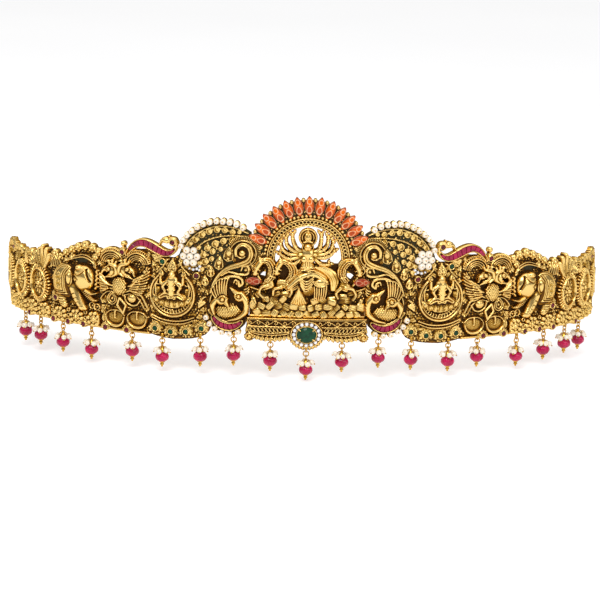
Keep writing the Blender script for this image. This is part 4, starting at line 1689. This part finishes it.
def wheels():
    s0, s1 = PLATES["wheel"]
    R = Relief(132.8, 165.4, -3.0, 38.4, 0.24)
    R.outline([(s0, 33.8), (136, 34.4), (139, 33.2), (143, 30.8), (147, 29.6), (153, 28.6), (158, 29.0),
               (s1, 29.6), (s1, FOOT_Z), (s0, FOOT_Z)])
    for s, z, r in [(145.0, 30.4, 1.6), (148.7, 30.4, 2.2), (152.4, 29.2, 1.5), (156.2, 29.8, 1.8),
                    (159.8, 30.6, 1.9), (163.2, 30.4, 1.7)]:
        R.dome(s, z, r, 1.7, base=0.4, shape=True)
        R.ring(s, z, r * 0.62, 0.3, 0.6, base=1.5)
    R.G[:] = 0.15
    wheel(R, 140.5, 16.6, 7.2, 9.3)
    wheel(R, 156.0, 16.2, 7.4, 9.3)
    # tall plumes, and a fluted arch beside them
    for x, y in ((-4.2, 6.0), (4.8, 6.2), (-2.4, 8.6), (2.8, 8.0), (0.2, 9.8)):
        plume = curve([(138.2 + 0.4 * x, 25.0), (138.2 + 0.85 * x, 25.0 + 0.6 * y), (138.2 + x, 25.2 + y)])
        R.stroke(plume, [0.7, 1.25, 1.15], 2.5, 0.5, shape=True)
        R.trace(plume, 0.3, -0.7)
    for k in range(4):
        R.stroke(arc(148.3, 24.8, 4.6 - 1.1 * k, 5, 175, 18, 6.0 - 1.3 * k), 0.55, 1.9, 0.5 + 0.25 * k)
    R.fan(158.6, 25.6, 0.6, 30, 150, 6, 5.0, 1.8, 1.7, 0.5, rib=0.8)
    R.ball(153.8, 30.2, 0.9, base=0.5, shape=True)
    R.fan(164.4, 24.0, 0.6, 60, 150, 4, 6.0, 1.8, 1.6, 0.5, rib=0.8)
    sprigs(R, 0.95, [(148.8, 22.2, 90), (134.6, 25.4, 120), (148.6, 11.6, 270), (134.4, 9.4, 80),
                     (163.6, 9.6, 90), (148.8, 8.6, 90)])
    strip_flowers(R, [137.2, 146.4, 155.6, 162.2])
    lip(R, s0, s1)
    ruby_seats(R, [RUBIES[7]])
    close_panel(R, "wheel")


def ends():
    s0, s1 = PLATES["end"]
    R = Relief(164.8, 190.4, -3.0, 34.6, 0.26)
    R.outline([(s0, 30.4), (170, 30.6), (178, 29.2), (184, 27.0), (187, 22.8), (190, 13.6), (188.6, 8.4),
               (186.6, 5.9), (s1, 5.6), (s1, 0.7), (180, 0.7), (172.4, FOOT_Z), (s0, FOOT_Z)])
    for s, z, r in [(167.4, 30.4, 2.0), (171.4, 31.4, 2.4), (175.6, 30.8, 2.2), (179.8, 29.4, 2.3),
                    (183.6, 27.2, 2.0), (186.4, 23.6, 1.8)]:
        R.dome(s, z, r, 1.6, base=0.4, shape=True)
        R.fan(s, z - r * 0.6, 0.2, 40, 140, 5, r * 1.7, 1.3, 1.4, 1.0, rib=0.6, shape=True)
        R.ball(s, z - r * 0.5, 0.7, base=1.6)
    R.G[:] = 0.15
    wheel(R, 173.8, 16.4, 6.6, 8.2)
    R.disc(184.2, 16.4, 4.4, 0.6)
    R.ring(184.2, 16.4, 3.8, 0.9, 1.5, base=0.4, teeth=18, depth=0.6)
    R.ball(184.2, 16.4, 1.6, base=0.8)
    R.fan(173.0, 25.6, 0.6, 30, 150, 6, 4.8, 1.8, 1.7, 0.5, rib=0.8)
    R.dome(180.6, 25.4, 2.6, 1.8, base=0.4)
    R.stroke(spiral(180.6, 25.4, 0.5, 2.4, 0, 420), 0.45, 1.1, 1.2)
    sprigs(R, 0.95, [(166.2, 9.6, 90), (181.8, 10.0, 80), (187.4, 10.6, 95), (185.6, 21.6, 110),
                     (166.0, 24.0, 80)])
    strip_flowers(R, [168.8])
    R.bend([(166, 28.0), (172, 28.4), (178, 27.2), (183.0, 25.0), (186.0, 21.4), (189.0, 13.2),
            (186.4, 8.8), (180.4, 6.2), (173.8, 4.2)], 0.5, 1.4, 0.5)
    lip(R, s0, 171.6)
    R.seat(*RUBIES[9], h=1.7)
    # the relief gets flatter towards the very end
    close_panel(R, "end", flatness=1 - 0.5 * np.clip((R.S - 167) / 12, 0, 1))


# Stones, enamel and pearls
def petal(turn, l, w, h, out, dark):
    """An enamel petal about its middle: points, quads, and how much cream and how much red it shows."""
    nu, nv = 46, 19
    u = np.linspace(0, 1, nu)[:, None] * np.ones((1, nv))
    v = np.linspace(-1, 1, nv)[None, :] * np.ones((nu, 1))
    half = 0.5 * w * np.sin(pi * u ** 0.95) ** 0.75 + 0.02
    x, y = (u - 0.5) * l, v * half
    groove = 0.1 * np.exp(-(v / 0.12) ** 2)
    hh = out + h * np.sqrt(np.clip(1 - v ** 2, 0, 1)) * (0.45 + 0.55 * np.sin(pi * u)) - groove
    # cream lines: the edge, a long drop and a small ring
    along = (x + 0.17 * l) / (0.19 * l)
    loop = np.hypot(along, y / (0.25 * w * (1 - 0.45 * along).clip(0.3, 1.4)))
    tip = np.hypot((x - 0.24 * l) / (0.13 * l), y / (0.24 * w))
    cream = (0.85 - 0.4 * dark) * ((np.abs(v) > 0.9) | (np.abs(loop - 1) < 0.13) | (np.abs(tip - 1) < 0.13))
    # the enamel gets redder towards the sides, in the drop and at the outer end
    red = np.clip((np.abs(v) - 0.45) / 0.5, 0, 1) * (tip > 1) + 0.7 * (loop < 0.85) + 1.0 * (u > 0.94)
    c, d = unit(turn)
    top = np.stack([x * c - y * d, x * d + y * c, hh], -1).reshape(-1, 3)
    under = top * [1, 1, 0] + [0, 0, out - 0.25]
    q = grid_quads(nu, nv)
    return (np.concatenate([top, under]), np.concatenate([q[:, ::-1], q + nu * nv]),
            np.concatenate([cream.ravel(), np.zeros(nu * nv)]),
            np.concatenate([np.clip(dark + red, 0, 1).ravel(), np.ones(nu * nv)]))


def petals():
    """Thirteen petals round the arch, and one lying flat at each side."""
    crown = [90 + PETAL_TURN * i for i in range(-6, 7)]
    places = [(around(ARCH, 25.4, math.radians(a)), a, 9.3, 4.6, 1.6, 0.55, 0.0) for a in crown]
    side, up = SIDE_PETAL
    places += [((m * (side - 0.8), up), 90 - m * 88, 7.8, 3.9, 1.1, 2.1, 0.85) for m in (-1, 1)]
    kit, cream, depth = Kit(), [], []
    for place, *form in places:
        v, q, light, red = petal(*form)
        kit.add(local_to_row(v, *place), q)
        cream.append(light)
        depth.append(red)
    kit.make("enamel_petals", ENAMEL, "enamel", "crown_petals",
             values={"cream": np.concatenate(cream), "depth": np.concatenate(depth)})


def centre_stones():
    """The big emerald, and the white stones round it."""
    kit = Kit()
    kit.put(gem(evenly(16, (0, 0), 4.75, 3.9), 1.2, 1.4, 0.7), lambda v: local_to_row(v, *EMERALD_C, 2.0))
    kit.make("emerald_cut", EMERALD, "emerald", "centre_emerald", smooth=False)
    kit = Kit()
    for place in evenly(16, (0, 0), 6.05, 5.15):
        kit.put(brilliant(0.98, 0.55), lambda v: local_to_row(v + [*place, 0], *EMERALD_C, 1.75))
    kit.make("halo_brilliants", WHITE, "white_stone", "halo_stones", smooth=False)


def brilliant(r, crown):
    return gem(evenly(8, (0, 0), r), crown, 0.6)


def wing_brilliants():
    kit = Kit()
    for s, z, r in [(51.4, 34.6, 0.75), (52.8, 33.4, 0.8), (54.6, 33.0, 0.8), (51.6, 32.8, 0.6),
                    (56.4, 33.4, 0.6)]:
        for m in (-1, 1):
            kit.put(brilliant(r, 0.5), lambda v: local_to_row(v, m * s, z, 0.9))
    kit.make("wing_brilliants", WHITE, "white_stone", smooth=False)


def cabochons(places, name, material, slot, node_name):
    """Small domed stones on both sides of the belt."""
    angles = np.linspace(0.15, pi / 2 - 0.02, 7)
    dome = [(STONE_R * math.cos(x), 0.85 * STONE_R * math.sin(x)) for x in angles]
    v, q = turned([(STONE_R, -0.5), (STONE_R, 0.0)] + dome, 20)
    kit = Kit()
    for s, z, out in places:
        for m in (-1, 1):
            kit.add(local_to_row(v[:, [0, 2, 1]], m * s, z, out), q[:, ::-1])
    kit.make(name, material, slot, node_name)


def small_stones():
    high = RUBIES[8]
    rubies = [(s, z, 0.95 + stone_out((s, z)) + (1.6 if (s, z) == high else 0)) for s, z in RUBIES]
    cabochons(rubies + [(65.1, 45.2, 1.0)], "small_rubies", DARK_RUBY, "ruby", "bezel_rubies")
    cabochons([(s, z, 1.05) for s, z in EMERALDS], "small_emeralds", EMERALD, "emerald", "bezel_emeralds")


def channel(path, half, n, name, node_name, sign, out):
    """n rubies cut to a channel along a path."""
    d = np.gradient(path, axis=0)
    across = np.stack([-d[:, 1], d[:, 0]], -1) / np.linalg.norm(d, axis=1)[:, None]
    x = np.linspace(0, 1, len(path))
    gap = 0.02

    def at(u):
        """The middle of the channel, and the way from there to its wall."""
        point, normal = ([np.interp(u, x, v[:, 0]), np.interp(u, x, v[:, 1])] for v in (path, across))
        return np.array(point), np.interp(u, x, half) * np.array(normal)

    kit = Kit()
    for i in range(n):
        (p0, h0), (p1, h1) = at((i + gap) / n), at((i + 1 - gap) / n)
        lean = 0.135 * (p1 - p0)
        o = np.array([p0 - h0 - lean, p1 - h1 - lean, p1 + h1 + lean, p0 + h0 + lean]) * [sign, 1]
        middle = o.mean(0)
        kit.put(gem(o[::sign] - middle, 0.5, 0.6, 0.8), lambda v: local_to_row(v, *middle, out))
    kit.make(name, CUT_RUBY, "ruby", node_name, smooth=False)


def channel_rubies():
    c, half = crest_path(60)
    keep = slice(3, 56)
    a = np.linspace(224, 332, 30)
    path = arc(*CRESCENT_C, CRESCENT_R, a[0], a[-1], len(a))
    crescent = crescent_half((a - CRESCENT_A0) / (CRESCENT_A1 - CRESCENT_A0)) - 0.08
    for side, sign in SIDES:
        channel(c[keep], half[keep] - 0.62, 10, f"crest_rubies_{side}", f"ruby_crest_{side}", sign, 1.25)
        channel(path, crescent, 7, f"crescent_rubies_{side}", f"ruby_crescent_{side}", sign, 1.15)


def pearls():
    """Pearls of the top edge, the flowers and the crescents, each on a pin that shows as a small ball."""
    groups = ((BORDER, 1.45, "border"), ([FLOWER] + FLOWER_PEARLS, 1.72, "flower"),
              (CRESCENT_PEARLS, 1.32, "crescent"))
    pins = Kit()
    for side, sign in SIDES:
        for places, size, key in groups:
            kit = Kit()
            for s, z in places:
                r = size * rng.uniform(0.95, 1.03)
                kit.put(ball((0, 0, 0), r, 20, 12), lambda v: local_to_row(v, sign * s, z, r + 0.25))
                pins.put(ball((0, 0, 0), 0.36, 8, 6), lambda v: local_to_row(v, sign * s, z, 2 * r + 0.15))
            kit.make(f"{key}_pearls_{side}_set", PEARL, "pearl", f"{key}_pearls_{side}")
    pins.make("pearl_pins", BRIGHT, "gold")


# Hanging drops
RING_R, EYE_R, WIRE_R, BEAD_R, BEAD_H = 1.3, 0.9, 0.28, 3.3, 5.0
RING_Y = -(EYE_R - 2 * WIRE_R - 0.1) - RING_R
LOW_EYE_Y = RING_Y - RING_R + 2 * WIRE_R + 0.1 - EYE_R
CAP_Y = LOW_EYE_Y - EYE_R
PEARL_Y = CAP_Y - 1.7
BEAD_Y = CAP_Y - 2.8 - BEAD_H / 2
TIP_Y = BEAD_Y - BEAD_H / 2


# Turned outlines, as radius and height above the top of the cap or the foot of the bead
LUG = [(0.02, 0.55), (0.75, 0.6), (0.8, 1.1), (0.72, 2.2), (0.02, 2.3)]
CAP = [(0.02, 0.15), (0.5, 0.1), (0.62, -0.3), (0.5, -0.6), (0.85, -1.0), (1.25, -1.9), (1.75, -2.75),
       (1.55, -2.95), (0.02, -3.0)]
FOOT = [(0.02, 0.5), (1.45, 0.35), (1.55, 0.05), (1.2, -0.25), (0.75, -0.5), (0.7, -0.75), (0.98, -1.1),
        (0.98, -1.4), (0.6, -1.75), (0.45, -1.95), (0.55, -2.2), (0.4, -2.5), (0.02, -2.6)]


def raised(profile, y):
    return [(r, y + h) for r, h in profile]


def melon_profile():
    """Half section of the bead, from the hole at its foot to the hole at its top."""
    hole, end = 0.42, 80
    side = [(hole + (BEAD_R - 0.36) * unit(x)[0], BEAD_H / 2 * unit(x)[1] / unit(end)[1])
            for x in np.linspace(-end, end, 17)]
    return [(hole, -BEAD_H / 2)] + side + [(hole, BEAD_H / 2)]


def pearl_cluster(caps, seeds, place):
    """Six pearls on short wires, each ending in a little ball."""
    n = 6
    first = rng.uniform(0, 2 * pi)
    for i in range(n):
        a = first + 2 * pi * i / n + rng.uniform(-0.15, 0.15)
        out = rng.uniform(2.75, 3.25)
        y = PEARL_Y - rng.uniform(-0.1, 0.9)
        c = np.array([out * math.cos(a), y, out * math.sin(a)])
        start = np.array([0.45 * math.cos(a), CAP_Y - 0.2, 0.45 * math.sin(a)])
        way = c - start
        end = c + way / np.linalg.norm(way) * 1.5
        caps.put(tube([start, start + way * 0.4 + [0, 0.25, 0], c, end], 0.16, 6), place)
        caps.put(ball(end, 0.36, 8, 6), place)
        seeds.put(ball(c, rng.uniform(1.22, 1.36), 16, 10), place)


def hung(k):
    """A function that moves points to the drop k places to the right of the middle."""
    s, z = DROPS[abs(k)]
    return lambda v: local_to_row(v, math.copysign(s, k), z - EYE_DROP, EYE_OUT)


def fluted(spin):
    return lambda a: 1 - 0.055 * (0.5 + 0.5 * np.cos(10 * (a + spin))) ** 0.7


def drops():
    rings, caps, seeds = Kit(), Kit(), Kit()
    for number, k in enumerate(range(-9, 10), 1):
        place = hung(k)
        # upper eye, jump ring and lug
        rings.put(torus((0, 0, 0), EYE_R, WIRE_R, "yz"), place)
        rings.put(torus((0, RING_Y, 0), RING_R, WIRE_R, "xy"), place)
        rings.put(turned(LUG, 14), place)
        rings.put(ball((0, EYE_R + 0.1, 0.75), 0.5, 10, 7), place)
        # lower eye, cap with granules, and stepped foot
        caps.put(torus((0, LOW_EYE_Y, 0), EYE_R, WIRE_R, "yz"), place)
        caps.put(turned(raised(CAP, CAP_Y), 18, lambda a: 1 + 0.10 * np.cos(6 * a)), place)
        for x, y in evenly(8, (0, 0), 1.5):
            caps.put(ball((x, CAP_Y - 2.6, y), 0.34, 8, 6), place)
        caps.put(turned(raised(FOOT, TIP_Y), 18), place)
        pearl_cluster(caps, seeds, place)
        # fluted bead
        bead = Kit()
        bead.put(turned(raised(melon_profile(), BEAD_Y), 60, fluted(rng.uniform(0, 1))), place)
        bead.make(f"melon_bead_{number:02d}", RUBY, "ruby", f"ruby_bead_{number:02d}")
    rings.make("jump_rings", BRIGHT, "gold", "drop_rings")
    caps.make("caps_and_wires", BRIGHT, "gold", "drop_caps")
    seeds.make("drop_pearl_clusters", PEARL, "pearl", "drop_pearls")


# Back band and clasp keep their solids
def plain_back():
    for name in ("back_band_left", "back_band_right", "clasp"):
        for material_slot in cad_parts[name].material_slots:
            material_slot.material = BRIGHT


centre()
goddess()
rail()
wing()
crest()
birds()
elephants()
wheels()
ends()
petals()
centre_stones()
wing_brilliants()
small_stones()
channel_rubies()
pearls()
drops()
plain_back()


# Stage, light and camera
def paper_floor():
    z, far = -0.0187, 9
    me = bpy.data.meshes.new("floor")
    me.from_pydata([(-far, -far, z), (far, -far, z), (far, far, z), (-far, far, z)], [], [(0, 1, 2, 3)])
    floor = bpy.data.objects.new("floor", me)
    bpy.context.scene.collection.objects.link(floor)
    m, t, b = new_material("floor_paper", Roughness=0.9, Specular_IOR_Level=0.1,
                           Emission_Color=(1, 1, 1, 1), Emission_Strength=0.14)
    t.links.new(blend(t, noise(t, 3, 2), (0.93,) * 3, (0.95,) * 3), b.inputs["Base Color"])
    me.materials.append(m)


def studio_world():
    """Light from all sides, brightest from above and dim at eye level."""
    world = bpy.data.worlds.new("studio")
    world.use_nodes = True
    bpy.context.scene.world = world
    t = world.node_tree
    back = t.nodes["Background"]
    coord = t.nodes.new("ShaderNodeTexCoord")
    sep = t.nodes.new("ShaderNodeSeparateXYZ")
    t.links.new(coord.outputs["Generated"], sep.inputs["Vector"])
    height = maths(t, "ADD", maths(t, "MULTIPLY", sep.outputs["Z"], 0.5), 0.5)
    sky = [(0.45, (0.55, 0.54, 0.52)), (0.56, (0.22, 0.21, 0.20)), (0.70, (0.34, 0.34, 0.34)),
           (0.82, (0.95, 0.95, 0.96)), (1.0, (1.0, 1.0, 1.0))]
    t.links.new(ramp(t, height, sky), back.inputs["Color"])
    back.inputs["Strength"].default_value = 1.05


def lamps():
    for name, where, aim, size, watts in (("key", (-0.16, -0.80, 0.95), (0, -0.05, 0.0), (0.6, 0.4), 5.2),
                                          ("fill", (0.75, -0.85, 0.45), (0, -0.05, 0.02), (0.5, 0.5), 1.8),
                                          ("top", (0.0, 0.1, 1.1), (0, 0, 0), (1.2, 0.8), 1.5),
                                          ("rim", (-0.7, 0.5, 0.5), (0, -0.05, 0.02), (0.5, 0.5), 0.5)):
        light = bpy.data.lights.new(name, "AREA")
        light.shape = "RECTANGLE"
        light.size, light.size_y = size
        light.energy = watts
        ob = bpy.data.objects.new(name, light)
        bpy.context.scene.collection.objects.link(ob)
        ob.location = where
        ob.rotation_euler = (Vector(aim) - Vector(where)).to_track_quat("-Z", "Y").to_euler()


def camera():
    """The photo's view: a long lens from a little above, slightly turned and tilted."""
    elevation, yaw, roll = (math.radians(x) for x in (12.5, -1.678, 1.319))
    pixels_per_mm, distance, photo, sensor = 2.115, 1250.0, 600, 36
    target = Vector((-3.414, -100, 20.5)) / 1000
    level = math.cos(elevation)
    back = Vector((math.sin(yaw) * level, -math.cos(yaw) * level, math.sin(elevation)))
    right = (-back).cross(Vector((0, 0, 1))).normalized()
    up = right.cross(-back).normalized()
    c, s = math.cos(roll), math.sin(roll)
    cam = bpy.data.cameras.new("camera")
    cam.sensor_width = sensor
    cam.lens = pixels_per_mm * distance / photo * sensor
    cam.clip_start, cam.clip_end = 0.01, 50
    ob = bpy.data.objects.new("camera", cam)
    place = Matrix((c * right + s * up, c * up - s * right, back)).transposed().to_4x4()
    place.translation = target + back * distance / 1000
    ob.matrix_world = place
    bpy.context.scene.collection.objects.link(ob)
    bpy.context.scene.camera = ob


paper_floor()
studio_world()
lamps()
camera()
bpy.context.scene.view_settings.view_transform = "Standard"
bpy.context.scene.view_settings.look = "None"
